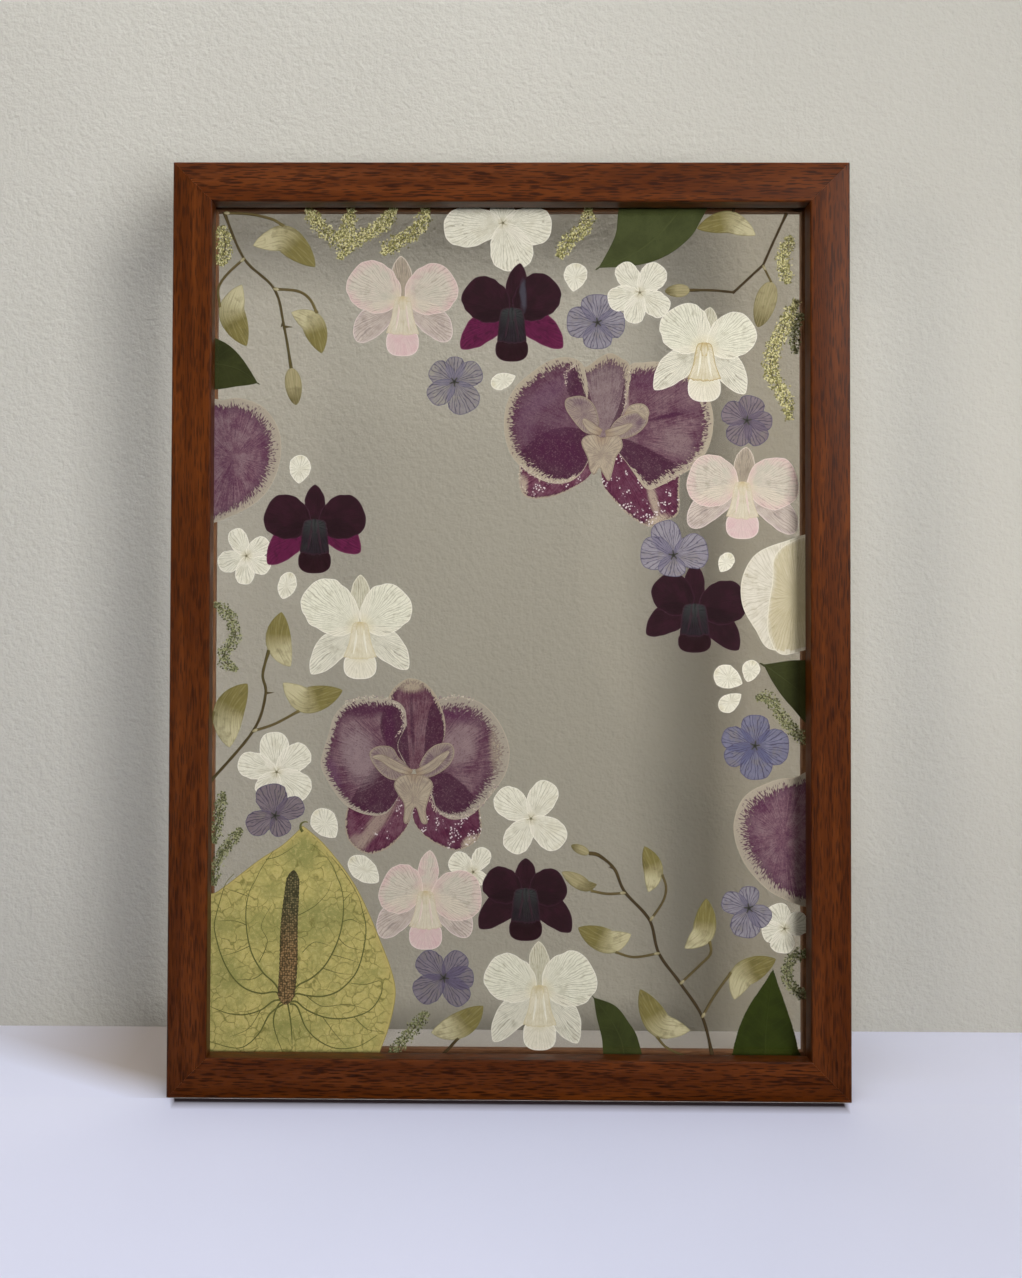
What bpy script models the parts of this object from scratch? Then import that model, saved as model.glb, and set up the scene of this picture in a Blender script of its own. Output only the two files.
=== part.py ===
"""Pressed flower frame: dried flowers, leaves, buds and catkins held flat between two panes of glass.

The panes stand in the rebate of a mitred hardwood frame, and four mitred wooden beads behind them
keep them in. The frame stands upright on its bottom rail and faces -Y. Every size is in millimetres
until it is placed. Specimens are placed by (across, up) from the lower left corner of the sight
opening, as seen from the front.
"""

from math import atan2, copysign, cos, degrees, hypot, pi, radians, sin

import bmesh
import bpy
from mathutils import Vector
from mathutils.geometry import delaunay_2d_cdt

MM = 0.001

# Frame: an A3 glass size in a plain square moulding
GLASS_WIDTH = 297.0
GLASS_HEIGHT = 420.0
GLASS_UNDER_LIP = 4.8
FACE_WIDTH = 19.0
FRAME_DEPTH = 20.0
LIP_DEPTH = 9.0
OUTER_EASE = 0.8
SIGHT_EASE = 1.0
FIT_GAP = 0.3
PANE = 2.0
PRESSING_GAP = 2.4

SIGHT_WIDTH = GLASS_WIDTH - 2 * GLASS_UNDER_LIP
SIGHT_HEIGHT = GLASS_HEIGHT - 2 * GLASS_UNDER_LIP
OUTER_WIDTH = SIGHT_WIDTH + 2 * FACE_WIDTH
OUTER_HEIGHT = SIGHT_HEIGHT + 2 * FACE_WIDTH

# Depths behind the front face
FRONT_PANE = LIP_DEPTH + FIT_GAP
PRESSING = FRONT_PANE + PANE
BACK_PANE = PRESSING + PRESSING_GAP
BEAD = BACK_PANE + PANE + FIT_GAP

# The pressed things lie in two layers, so that one can lie over another
LAYER = (PRESSING_GAP - 3 * FIT_GAP) / 2
FRONT_LAYER = (PRESSING + FIT_GAP, PRESSING + FIT_GAP + LAYER)
BACK_LAYER = (FRONT_LAYER[1] + FIT_GAP, FRONT_LAYER[1] + FIT_GAP + LAYER)
PETAL_THICKNESS = 0.45

# How far a specimen may run on under the lip
UNDER_LIP = 3.2

MAHOGANY = ("mahogany_stain", (0.085, 0.030, 0.014), 0.42)
BEAD_WOOD = ("bead_wood", (0.16, 0.10, 0.07), 0.6)
GLASS = ("picture_glass", (0.90, 0.93, 0.92), 0.04)
PINK_PETAL = ("pressed_pink_petal", (0.62, 0.48, 0.47), 0.7)
WHITE_PETAL = ("pressed_white_petal", (0.66, 0.65, 0.56), 0.7)
PLUM_PETAL = ("pressed_plum_petal", (0.035, 0.010, 0.022), 0.55)
PURPLE_PETAL = ("pressed_purple_petal", (0.13, 0.06, 0.12), 0.65)
LILAC_PETAL = ("pressed_lilac_petal", (0.22, 0.19, 0.31), 0.7)
SPATHE_SKIN = ("pressed_spathe", (0.30, 0.30, 0.10), 0.6)
LEAF_SKIN = ("pressed_leaf", (0.05, 0.08, 0.02), 0.6)
BUD_SKIN = ("pressed_bud", (0.28, 0.26, 0.09), 0.6)
CATKIN_GRAIN = ("pressed_catkin", (0.32, 0.33, 0.12), 0.8)

# Dendrobium orchids: centre; tip of the top sepal; left and right petal as (reach, rise, radius) of a
# disc; tips of the lower sepals; length of the lip; layer; finish. Tips are measured from the centre.
DENDROBIUMS = {
    "pink_orchid_top": (
        (91.5, 364.5), (-1, 23), ((-27, 8, 12), (26.5, 6.5, 12)),
        ((-23, -18.5), (23.5, -18)), 26.5, FRONT_LAYER, PINK_PETAL,
    ),
    "pink_orchid_right": (
        (257.5, 274), (2, 20), ((-26.5, 3, 12.5), (27, 2, 12.5)),
        ((-26, -18.5), (26, -21.5)), 25, FRONT_LAYER, PINK_PETAL,
    ),
    "pink_orchid_bottom": (
        (104, 74.5), (2, 22.5), ((-22, 2.5, 12), (27, 0.5, 12)),
        ((-22.5, -19), (21.5, -18.5)), 25.5, FRONT_LAYER, PINK_PETAL,
    ),
    "white_orchid_top": (
        (239, 342), (3, 20.5), ((-21, 9.5, 12), (25, 7, 10.5)),
        ((-24.5, -20), (20, -22)), 26, FRONT_LAYER, WHITE_PETAL,
    ),
    "white_orchid_middle": (
        (71.5, 205), (0, 26), ((-28.5, 11.5, 12), (24.5, 9.5, 11.5)),
        ((-24, -22.5), (23.5, -20)), 25, FRONT_LAYER, WHITE_PETAL,
    ),
    "white_orchid_bottom": (
        (159.5, 29), (-0.5, 24), ((-26.5, 6.5, 11), (27, 5.5, 13)),
        ((-22.5, -24.5), (18.5, -25)), 28.5, BACK_LAYER, WHITE_PETAL,
    ),
    "plum_orchid_top": (
        (145, 359), (4, 25), ((-24, 7.5, 10.5), (23.5, 9, 10.5)),
        ((-25, -17), (25, -16.5)), 23.5, FRONT_LAYER, PLUM_PETAL,
    ),
    "plum_orchid_left": (
        (49, 255), (0, 20), ((-24.5, 4, 10.5), (24.5, 4, 10.5)),
        ((-23, -19), (22.5, -13)), 23.5, FRONT_LAYER, PLUM_PETAL,
    ),
    "plum_orchid_right": (
        (234.5, 214.5), (0, 22.5), ((-20.5, 8, 9.5), (25, 3.5, 10.5)),
        ((-23.5, -12), (21.5, -19.5)), 21, BACK_LAYER, PLUM_PETAL,
    ),
    "plum_orchid_bottom": (
        (152.5, 76), (0, 17.5), ((-20.5, 4.5, 8.5), (19.5, 3, 9)),
        ((-22.5, -16.5), (22, -18)), 22.5, FRONT_LAYER, PLUM_PETAL,
    ),
}

# Moth orchids: the outlines of the five tepals, then of the pale raised lobes of the lip
MOTH_ORCHIDS = {
    "moth_orchid_upper": (
        (
            (
                (180.5, 333), (176.5, 337), (170, 338), (155.5, 331),
                (143, 316), (141.5, 307), (145.5, 289),
                (153, 281.5), (163, 276.5), (172.5, 276.5), (179.5, 281.5), (188, 299.5),
            ),
            (
                (182, 333), (187.5, 337.5), (193, 340), (198, 338),
                (203.5, 333), (198, 312), (189.5, 297),
                (184, 313.5),
            ),
            (
                (202, 333), (210, 335.5), (219.5, 335.5), (230, 331.5),
                (239, 323), (243, 313), (243.5, 303),
                (240.5, 292), (233.5, 284), (226.5, 279.5), (211.5, 286), (191, 299.5), (200, 315),
            ),
            (
                (149, 283.5), (149, 276), (151, 270.5), (156, 268.5),
                (173.5, 273), (182.5, 279), (186, 289),
                (168.5, 291.5),
            ),
            (
                (189, 281), (193.5, 270), (202, 261), (212.5, 255),
                (220, 258), (226.5, 261.5), (227, 271.5),
                (226.5, 283), (211.5, 291.5), (192, 299), (190, 289),
            ),
        ),
        (
            (
                (172.5, 317.5), (179.5, 318.5), (185, 314.5), (187.5, 306.5), (189, 299), (180.5, 302),
                (174, 309),
            ),
            (
                (190, 299), (196.5, 309), (202, 313.5), (209, 314.5), (212, 309.5), (208.5, 302.5),
                (201.5, 298.5),
            ),
            (
                (179.5, 295.5), (184, 300), (194.5, 300), (199, 295.5),
                (196, 288.5), (194, 281.5), (192, 277),
                (188.5, 281.5), (184.5, 281.5), (183.5, 287.5),
            ),
        ),
    ),
    "moth_orchid_lower": (
        (
            (
                (84.5, 169), (87.5, 175), (92, 179), (96.5, 180.5),
                (102.5, 178.5), (107, 174.5), (110, 169),
                (106, 153), (97, 136), (89.5, 153),
            ),
            (
                (87.5, 170), (78.5, 170.5), (70, 170), (63, 167), (58.5, 161),
                (56.5, 154), (52.5, 139.5), (55, 132),
                (59.5, 124.5), (65.5, 118.5), (78, 128), (97, 136), (94, 156.5),
            ),
            (
                (106, 168), (117.5, 171.5), (127.5, 170), (134.5, 165.5),
                (140.5, 157.5), (144, 149), (144, 142),
                (141.5, 134), (136, 125.5), (129, 117), (119, 124), (98, 135), (102, 157),
            ),
            (
                (72, 132.5), (67, 122), (64.5, 111), (66, 102), (71.5, 96.5),
                (78, 95), (86.5, 98.5), (93, 105.5),
                (97.5, 112.5), (97, 133), (85, 136),
            ),
            (
                (97, 112.5), (103, 104), (110, 99.5), (118, 97), (125, 99),
                (130.5, 103.5), (131, 110.5), (129, 120),
                (116.5, 132), (100, 134),
            ),
        ),
        (
            (
                (76.5, 143.5), (80.5, 147), (87, 146.5), (90.5, 141.5),
                (97, 136), (92.5, 131.5), (86.5, 131.5),
                (80, 136.5),
            ),
            (
                (98, 135), (104.5, 145.5), (110.5, 148.5), (116.5, 147.5),
                (117, 143), (114, 138), (108, 133.5),
                (102, 131.5),
            ),
            (
                (88.5, 128), (93, 133.5), (103, 133.5), (107, 129),
                (104, 120.5), (105, 111), (103, 110), (99, 117),
                (94.5, 110.5), (93, 119),
            ),
        ),
    ),
}

# Hydrangea florets: centre, then each petal as (direction in degrees, length, width); layer; finish
FLORETS = {
    "white_floret_top": (
        (140.5, 404),
        ((186, 29, 19), (-72, 24, 20), (-5, 24, 18), (92, 10, 12)),
        BACK_LAYER, WHITE_PETAL,
    ),
    "white_floret_upper_right": (
        (207.5, 369.5),
        ((124, 17, 11), (51, 17, 12.5), (197, 16, 12), (-35, 16.5, 12), (-105, 15.5, 10)),
        FRONT_LAYER, WHITE_PETAL,
    ),
    "white_floret_left": (
        (15.5, 240),
        ((198, 14.5, 10), (265, 14, 9), (-31, 13, 9.5), (117, 14.5, 9), (35, 13, 9)),
        BACK_LAYER, WHITE_PETAL,
    ),
    "white_floret_lower_left": (
        (31, 134.5),
        ((96, 19.5, 14), (37, 19, 13), (165, 19.5, 12.5), (-36, 19, 14), (240, 14, 12)),
        BACK_LAYER, WHITE_PETAL,
    ),
    "white_floret_centre": (
        (155, 112.5),
        ((143, 20.5, 14.5), (61, 20, 13.5), (237, 19, 13), (-38, 20, 14.5)),
        BACK_LAYER, WHITE_PETAL,
    ),
    "white_floret_right": (
        (278, 60),
        ((112, 12.5, 11), (195, 11, 10), (262, 12, 11), (20, 12, 11)),
        BACK_LAYER, WHITE_PETAL,
    ),
    "lilac_floret_top": (
        (187, 355),
        ((178, 15, 15), (90, 14, 15.5), (-3, 13.5, 13.5), (-90, 13, 14)),
        BACK_LAYER, LILAC_PETAL,
    ),
    "lilac_floret_middle": (
        (117, 325.5),
        ((88, 12.5, 9), (147, 13.5, 11.5), (27, 14.5, 12), (-63, 16.5, 15.5), (217, 15, 11.5)),
        FRONT_LAYER, LILAC_PETAL,
    ),
    "lilac_floret_upper_right": (
        (260, 307),
        ((73, 12.5, 12.5), (-2, 12.5, 9.5), (-54, 13.5, 11), (239, 13, 12), (152, 13, 11.5)),
        BACK_LAYER, LILAC_PETAL,
    ),
    "lilac_floret_right": (
        (224, 241),
        ((110, 17.5, 14), (174, 16, 16), (11, 17, 16.5), (263, 10.5, 13)),
        FRONT_LAYER, LILAC_PETAL,
    ),
    "blue_floret_right": (
        (263.5, 148.5),
        ((88, 15, 13.5), (162, 16.5, 11.5), (207, 16, 10.5), (273, 16.5, 15), (-3, 16.5, 17)),
        FRONT_LAYER, LILAC_PETAL,
    ),
    "lilac_floret_lower_right": (
        (260.5, 70),
        ((88, 10.5, 9.5), (162, 13.5, 10.5), (259, 14.5, 14), (-34, 12, 10.5)),
        FRONT_LAYER, LILAC_PETAL,
    ),
    "lilac_floret_bottom": (
        (113, 35.5),
        ((137, 16, 12.5), (51, 15, 11), (0, 14.5, 11), (-49, 16, 12), (215, 16.5, 13.5)),
        FRONT_LAYER, LILAC_PETAL,
    ),
    "lilac_floret_left": (
        (30.5, 113.5),
        ((102, 15.5, 15), (205, 15, 11.5), (24, 15, 10.5), (-65, 10.5, 10)),
        FRONT_LAYER, LILAC_PETAL,
    ),
}

# Loose petals, leaves and the spathe: a closed outline, rounded through hand-set points and sharp where
# a point is given twice; then a raised midrib or None, the layer and the finish
LOOSE = {
    "moth_petal_left": (
        ((-6, 314), (12, 317.5), (24, 312.5), (31.5, 300), (31, 284), (24, 270), (11, 261), (-6, 257)),
        None, BACK_LAYER, PURPLE_PETAL,
    ),
    "moth_petal_right": (
        (
            (293, 134), (273, 131.5), (259, 124), (253.5, 110.5), (256, 97), (263, 85.5), (275, 75.5),
            (293, 72),
        ),
        None, BACK_LAYER, PURPLE_PETAL,
    ),
    "cream_petal_right": (
        (
            (293, 250), (277, 247.5), (264, 241.5), (257.5, 230), (257.5, 217), (263.5, 205.5), (275, 193),
            (293, 196),
        ),
        None, FRONT_LAYER, WHITE_PETAL,
    ),
    "anthurium_spathe": (
        (
            (44, 108.5), (44, 108.5), (54, 100), (65.5, 86), (73.5, 72.5), (82, 53), (88, 37), (89.5, 26),
            (86.5, 11.5), (82, -1), (80, -8), (40, -8), (-8, -8), (-8, 30),
            (-8, 70), (2, 76), (12, 83.5), (23, 92),
            (34.5, 99.5),
        ),
        None, BACK_LAYER, SPATHE_SKIN,
    ),
    "leaf_left": (
        ((-6, 346), (3, 345.5), (12, 338), (20.5, 325), (20.5, 325), (12, 323.5), (-6, 323.5)),
        None, BACK_LAYER, LEAF_SKIN,
    ),
    "leaf_right": (
        ((268, 188), (268, 188), (293, 188), (293, 158), (281, 168), (273, 178.5)),
        None, BACK_LAYER, LEAF_SKIN,
    ),
    "leaf_top": (
        (
            (202, 418), (195.5, 397.5), (187.5, 382), (187.5, 382),
            (204.5, 383), (217.5, 386.5), (228, 393),
            (236, 402.5), (239, 418),
        ),
        ((230, 412), (216, 397.5), (203, 388), (191, 383)),
        BACK_LAYER, LEAF_SKIN,
    ),
    "leaf_bottom": (
        (
            (185.5, 26.5), (185.5, 26.5), (196, 22.5), (202.5, 14.5),
            (207, 6.5), (208.5, -8), (192.5, -8),
            (189.5, 7), (187, 17),
        ),
        ((187.5, 24), (194, 15.5), (199, 5.5), (200.5, -2)),
        FRONT_LAYER, LEAF_SKIN,
    ),
    "leaf_bottom_right": (
        (
            (272.5, 40), (272.5, 40), (275, 31), (277.5, 25.5), (279, 17),
            (282.5, 11), (283.5, 4), (285.5, -8),
            (253, -8), (253, 2), (255.5, 8), (256.5, 14.5), (260, 20), (262, 26), (267, 31),
        ),
        ((272, 36), (270.5, 25.5), (269, 11), (268.5, -2)),
        BACK_LAYER, LEAF_SKIN,
    ),
}

# Bud sprigs: each stem as (points, width, bud), where the bud sits on the stem's last point and is
# (apex, width, spur tip or None); then the layer
SPRIGS = {
    "bud_sprig_top_left": (
        (
            (((3.5, 409), (13.5, 386), (28.5, 371), (33.5, 352), (37.5, 334)), 1.7, ((39.5, 314), 8, None)),
            (((4, 408), (16, 408), (30, 404)), 1.5, ((48.5, 382), 13, (18, 392.5))),
            (((13.5, 386), (5, 378), (2.5, 366)), 1.5, ((14.5, 343), 12, (12.5, 373))),
            (((28.5, 371), (40, 371), (50.5, 360.5)), 1.5, ((51.5, 339.5), 12, (37, 359.5))),
        ),
        FRONT_LAYER,
    ),
    "bud_twig_top_right": (
        (
            (((279.5, 409), (268, 383), (253, 370), (236, 370.5)), 1.8, ((221.5, 369), 6.5, None)),
            (((268, 383), (272, 375)), 1.6, ((265.5, 353), 10.5, None)),
        ),
        BACK_LAYER,
    ),
    "bud_sprig_left": (
        (
            (
                ((-2, 129), (19.5, 154.5), (25.5, 172.5), (24, 182), (27, 191)),
                1.7, ((32.5, 212), 12.5, (36.5, 186)),
            ),
            (((19.5, 154.5), (30, 157), (40, 165.5)), 1.5, ((62.5, 174.5), 13, (34, 177))),
            (((-2, 129), (-2.4, 148), (0.5, 164)), 1.5, ((16.5, 177.5), 14, (8, 146.5))),
        ),
        FRONT_LAYER,
    ),
    "bud_sprig_bottom_right": (
        (
            (
                (
                    (243, -2), (238, 17.5), (227.5, 33.5), (217, 48),
                    (212.5, 64), (200.5, 77.5), (195.5, 88.5),
                    (188, 95),
                ),
                2.2, ((174.5, 99.5), 5, None),
            ),
            (((200.5, 77), (192, 76), (186, 80)), 1.5, ((171.5, 86.5), 7, None)),
            (((213, 64), (219, 73), (220.5, 80), (218.5, 85)), 1.5, ((210, 99.5), 9.5, (212, 77))),
            (((217, 48), (205, 45.5), (197, 51)), 1.5, ((179, 60), 11.5, (203.5, 56.5))),
            (((227.5, 33.5), (237, 42.5), (242, 48), (240.5, 54)), 1.6, ((241, 74), 11.5, (229.5, 50.5))),
            (((238, 17.5), (247, 30), (254, 38)), 1.6, ((273.5, 45.5), 12.5, (253.5, 26))),
            (((242, -2), (231, -1.5), (221, 2.5), (215.5, 10)), 1.6, ((208, 30.5), 11.5, (232, 11))),
        ),
        FRONT_LAYER,
    ),
    "bud_top_right": (
        ((((254, 413), (253, 408.5)), 1.6, ((235.5, 401), 10, (264, 397.5))),),
        FRONT_LAYER,
    ),
    "bud_bottom": (
        ((((112, -2), (116, 3), (119.5, 7.5)), 1.6, ((132, 21.5), 12, (107, 8.5))),),
        FRONT_LAYER,
    ),
}

# Catkins: points along the tassel, greatest width, layer
CATKINS = {
    "catkin_top_left": (
        ((44.5, 412), (49, 404), (54, 399), (59, 396), (64, 400), (66, 412)),
        4.5, BACK_LAYER,
    ),
    "catkin_top_middle": (((87, 412), (82.5, 404), (71.5, 397), (63, 392), (60.5, 386)), 5, BACK_LAYER),
    "catkin_top": (((102.5, 412), (100.5, 403), (93, 397), (85.5, 393), (81.5, 388.5)), 5, BACK_LAYER),
    "catkin_top_right": (((183, 412), (181, 402), (173.5, 396), (168, 387)), 4.5, BACK_LAYER),
    "catkin_right": (
        ((284.5, 366), (279, 355), (273, 342.5), (271, 333), (273.5, 326.5), (279, 317), (280.5, 307)),
        4.5, FRONT_LAYER,
    ),
    "catkin_left": (
        ((0, 217), (6.5, 212), (10, 204.5), (10, 199), (5.5, 193), (5.5, 188), (11.5, 184)),
        3.6, FRONT_LAYER,
    ),
    "catkin_right_middle": (
        ((264, 171.5), (270.5, 172), (274.5, 166), (280.5, 158), (290, 149)),
        4, FRONT_LAYER,
    ),
    "catkin_bottom": (((105, 18.5), (97, 9), (87, -2)), 4.5, BACK_LAYER),
}

DISC_POINTS = 12
PETAL_POINTS = 6
BUD_POINTS = 5
CURVE_STEPS = 2
RIB_WIDTH = 1.6
COLUMN_RADIUS = 2.2
DORSAL_WIDTH = 10.5
SEPAL_WIDTH = 13.5

# A dendrobium's lip: where its frill and the middle of its tongue are, in lengths of the lip
LIP_FRILL_AT = 0.56
LIP_TONGUE_AT = 0.74
TONGUE_HALF_WIDTH = 8.0
TONGUE_POWER = 0.77

SPADIX_TOP = (39.8, 86.5)
SPADIX_BASE = (36, 21)
SPADIX_WIDTH = 9.0


def clear_scene():
    for item in list(bpy.data.objects):
        bpy.data.objects.remove(item, do_unlink=True)


def finish_of(recipe):
    """The material that a (name, linear colour, roughness) recipe describes, made once."""
    name, colour, roughness = recipe
    material = bpy.data.materials.get(name)
    if material is None:
        material = bpy.data.materials.new(name)
        material.use_nodes = True
        shader = material.node_tree.nodes["Principled BSDF"]
        shader.inputs["Base Color"].default_value = (*colour, 1.0)
        shader.inputs["Roughness"].default_value = roughness
        shader.inputs["Metallic"].default_value = 0.0
        material.diffuse_color = (*colour, 1.0)
    return material


def add_object(name, mesh_builder, recipe):
    """A new object from a bmesh in millimetres."""
    bmesh.ops.recalc_face_normals(mesh_builder, faces=mesh_builder.faces)
    bmesh.ops.scale(mesh_builder, vec=(MM, MM, MM), verts=mesh_builder.verts)
    mesh = bpy.data.meshes.new(name)
    mesh_builder.to_mesh(mesh)
    mesh_builder.free()
    made = bpy.data.objects.new(name, mesh)
    made.data.materials.append(finish_of(recipe))
    bpy.context.scene.collection.objects.link(made)
    return made


def placed(across, up, depth):
    """World millimetres of a point measured from the sight corner and the front face."""
    return Vector((across - SIGHT_WIDTH / 2, depth - FRAME_DEPTH / 2, up + FACE_WIDTH))


# --- frame, panes and beads -------------------------------------------------------------------


def rail_section():
    """Section of the moulding as (inwards from the outer edge, depth): rebated, with eased edges."""
    rebate = FACE_WIDTH - GLASS_UNDER_LIP - FIT_GAP
    return [
        (0, OUTER_EASE),
        (OUTER_EASE, 0),
        (FACE_WIDTH - SIGHT_EASE, 0),
        (FACE_WIDTH, SIGHT_EASE),
        (FACE_WIDTH, LIP_DEPTH),
        (rebate, LIP_DEPTH),
        (rebate, FRAME_DEPTH),
        (OUTER_EASE, FRAME_DEPTH),
        (0, FRAME_DEPTH - OUTER_EASE),
    ]


def bead_section():
    """Section of a retaining bead, flush with the sight edge and the back of the frame."""
    outside = FACE_WIDTH - GLASS_UNDER_LIP
    return [(outside, BEAD), (FACE_WIDTH, BEAD), (FACE_WIDTH, FRAME_DEPTH), (outside, FRAME_DEPTH)]


def mitred_member(name, section, side, recipe):
    """One side of a mitred rectangle. side is bottom, right, top or left. The ends run at 45 degrees
    from the outer corner to the sight corner, and stop half a joint short of it."""
    along = OUTER_WIDTH if side in ("bottom", "top") else OUTER_HEIGHT
    joint = FIT_GAP / 2 / cos(pi / 4)
    shape = bmesh.new()
    rings = []
    for end in (-1, 1):
        ring = []
        for inwards, depth in section:
            run = end * (along / 2 - inwards - joint)
            if side == "bottom":
                point = (run, inwards)
            elif side == "top":
                point = (run, OUTER_HEIGHT - inwards)
            elif side == "left":
                point = (inwards - OUTER_WIDTH / 2, run + OUTER_HEIGHT / 2)
            else:
                point = (OUTER_WIDTH / 2 - inwards, run + OUTER_HEIGHT / 2)
            ring.append(shape.verts.new((point[0], depth - FRAME_DEPTH / 2, point[1])))
        rings.append(ring)
    count = len(section)
    for i in range(count):
        j = (i + 1) % count
        shape.faces.new((rings[0][i], rings[0][j], rings[1][j], rings[1][i]))
    shape.faces.new(rings[0])
    shape.faces.new(rings[1])
    return add_object(name, shape, recipe)


def pane(name, depth):
    """One sheet of glass."""
    shape = bmesh.new()
    bmesh.ops.create_cube(shape, size=1)
    bmesh.ops.scale(shape, vec=(GLASS_WIDTH, PANE, GLASS_HEIGHT), verts=shape.verts)
    middle = placed(SIGHT_WIDTH / 2, SIGHT_HEIGHT / 2, depth + PANE / 2)
    bmesh.ops.translate(shape, vec=middle, verts=shape.verts)
    return add_object(name, shape, GLASS)


# --- outlines, as lists of (across, up) ---------------------------------------------------------


def turned(points, angle, base):
    """Points given along +X, turned by angle in degrees and moved to base."""
    c, s = cos(radians(angle)), sin(radians(angle))
    return [(base[0] + x * c - y * s, base[1] + x * s + y * c) for x, y in points]


def petal(base, angle, length, width, claw=0.6, tip=0.45, points=PETAL_POINTS):
    """A petal from base in a direction. Its width at t along it follows t**claw * (1 - t)**tip: a
    large claw makes a narrow foot, and a large tip makes a pointed end. The points crowd towards
    both ends, where the outline turns most."""
    peak = claw / (claw + tip)
    most = peak**claw * (1 - peak) ** tip
    edge = []
    for i in range(1, points):
        t = (1 - cos(pi * i / points)) / 2
        edge.append((length * t, width / 2 * t**claw * (1 - t) ** tip / most))
    outline = [(0.0, 0.0), *edge, (length, 0.0), *[(x, -y) for x, y in reversed(edge)]]
    return turned(outline, angle, base)


def petal_to(base, end, width, claw=0.6, tip=0.45, points=PETAL_POINTS):
    """A petal from one point to another."""
    dx, dy = end[0] - base[0], end[1] - base[1]
    return petal(base, degrees(atan2(dy, dx)), hypot(dx, dy), width, claw, tip, points)


def disc(centre, radius, points=DISC_POINTS // 2):
    """A round column or seed."""
    turns = [2 * pi * (i + 0.5) / points for i in range(points)]
    return [(centre[0] + radius * cos(a), centre[1] + radius * sin(a)) for a in turns]


def smooth(points, closed, steps=CURVE_STEPS):
    """Points along a Catmull-Rom curve through the given ones."""
    count = len(points)
    spans = count if closed else count - 1
    curve = []
    for i in range(spans):
        if closed:
            a, b, c, d = (points[(i + k) % count] for k in (-1, 0, 1, 2))
        else:
            b, c = points[i], points[i + 1]
            a = points[i - 1] if i else b
            d = points[i + 2] if i + 2 < count else c
        for k in range(steps):
            t = k / steps
            curve.append(
                tuple(
                    0.5 * (2 * q + (r - p) * t + (2 * p - 5 * q + 4 * r - s) * t**2
                           + (3 * q - p - 3 * r + s) * t**3)
                    for p, q, r, s in zip(a, b, c, d)
                )
            )
    if not closed:
        curve.append(tuple(points[-1]))
    return curve


def ribbon(path, half_widths):
    """The outline of a band of varying width along a path."""
    left, right = [], []
    for i, (x, y) in enumerate(path):
        before, after = path[max(i - 1, 0)], path[min(i + 1, len(path) - 1)]
        dx, dy = after[0] - before[0], after[1] - before[1]
        size = hypot(dx, dy)
        side = (-dy / size * half_widths[i], dx / size * half_widths[i])
        left.append((x + side[0], y + side[1]))
        right.append((x - side[0], y - side[1]))
    return left + right[::-1]


def kept_behind_lip(outline):
    """The outline with what would run past the edge of the glass pulled back under the lip."""
    return [
        (
            min(max(x, -UNDER_LIP), SIGHT_WIDTH + UNDER_LIP),
            min(max(y, -UNDER_LIP), SIGHT_HEIGHT + UNDER_LIP),
        )
        for x, y in outline
    ]


# --- pressed solids -------------------------------------------------------------------------------


def slab(outlines, near, far):
    """A bmesh of the union of closed outlines, between two depths behind the front face."""
    points, rings = [], []
    for outline in outlines:
        outline = kept_behind_lip(outline)
        rings.append(list(range(len(points), len(points) + len(outline))))
        points += [Vector(p) for p in outline]
    flat, _, faces, _, _, _ = delaunay_2d_cdt(points, [], rings, 1, 1e-3)
    shape = bmesh.new()
    verts = [shape.verts.new(placed(p.x, p.y, far)) for p in flat]
    for face in faces:
        shape.faces.new([verts[i] for i in face])
    bmesh.ops.delete(shape, geom=[v for v in shape.verts if not v.link_faces], context="VERTS")
    bmesh.ops.dissolve_limit(
        shape, angle_limit=radians(0.5), verts=shape.verts, edges=shape.edges, use_dissolve_boundaries=False
    )
    lifted = bmesh.ops.extrude_face_region(shape, geom=shape.faces[:])["geom"]
    raised = [item for item in lifted if isinstance(item, bmesh.types.BMVert)]
    bmesh.ops.translate(shape, vec=Vector((0, near - far, 0)), verts=raised)
    return shape


def pressed(name, flat_outlines, layer, recipe, raised_outlines=()):
    """A pressed specimen: flat_outlines make its thin body against the far side of the layer, and
    raised_outlines stand up from that to the near side of the layer."""
    near, far = layer
    thin = far - PETAL_THICKNESS if raised_outlines else near
    body = add_object(name, slab(flat_outlines, thin, far), recipe)
    if raised_outlines:
        stand = add_object(name + "_raised", slab(raised_outlines, near, far - PETAL_THICKNESS / 2), recipe)
        stand.hide_render = True
        stand.display_type = "WIRE"
        union = body.modifiers.new("raised", "BOOLEAN")
        union.operation = "UNION"
        union.object = stand
    return body


def lip_outline(centre, length):
    """A dendrobium's lip: a tube that widens down to its frill, and a blunt tongue below it. The tongue
    is a superellipse, squarer than an ellipse."""
    across, up = centre
    frill = -LIP_FRILL_AT * length
    half_widths = ((2.5, 3.0), (-3.0, 4.0), (frill * 0.6, 5.2), (frill, 7.4))
    tube = [(across - half, up + rise) for rise, half in half_widths]
    tube += [(across + half, up + rise) for rise, half in reversed(half_widths)]
    half_height = length * (1 - LIP_TONGUE_AT)
    tongue = []
    for i in range(DISC_POINTS):
        turn = 2 * pi * (i + 0.5) / DISC_POINTS
        side = copysign(abs(cos(turn)) ** TONGUE_POWER, cos(turn))
        rise = copysign(abs(sin(turn)) ** TONGUE_POWER, sin(turn))
        tongue.append((across + TONGUE_HALF_WIDTH * side, up - LIP_TONGUE_AT * length + half_height * rise))
    return [tube, tongue]


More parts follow.
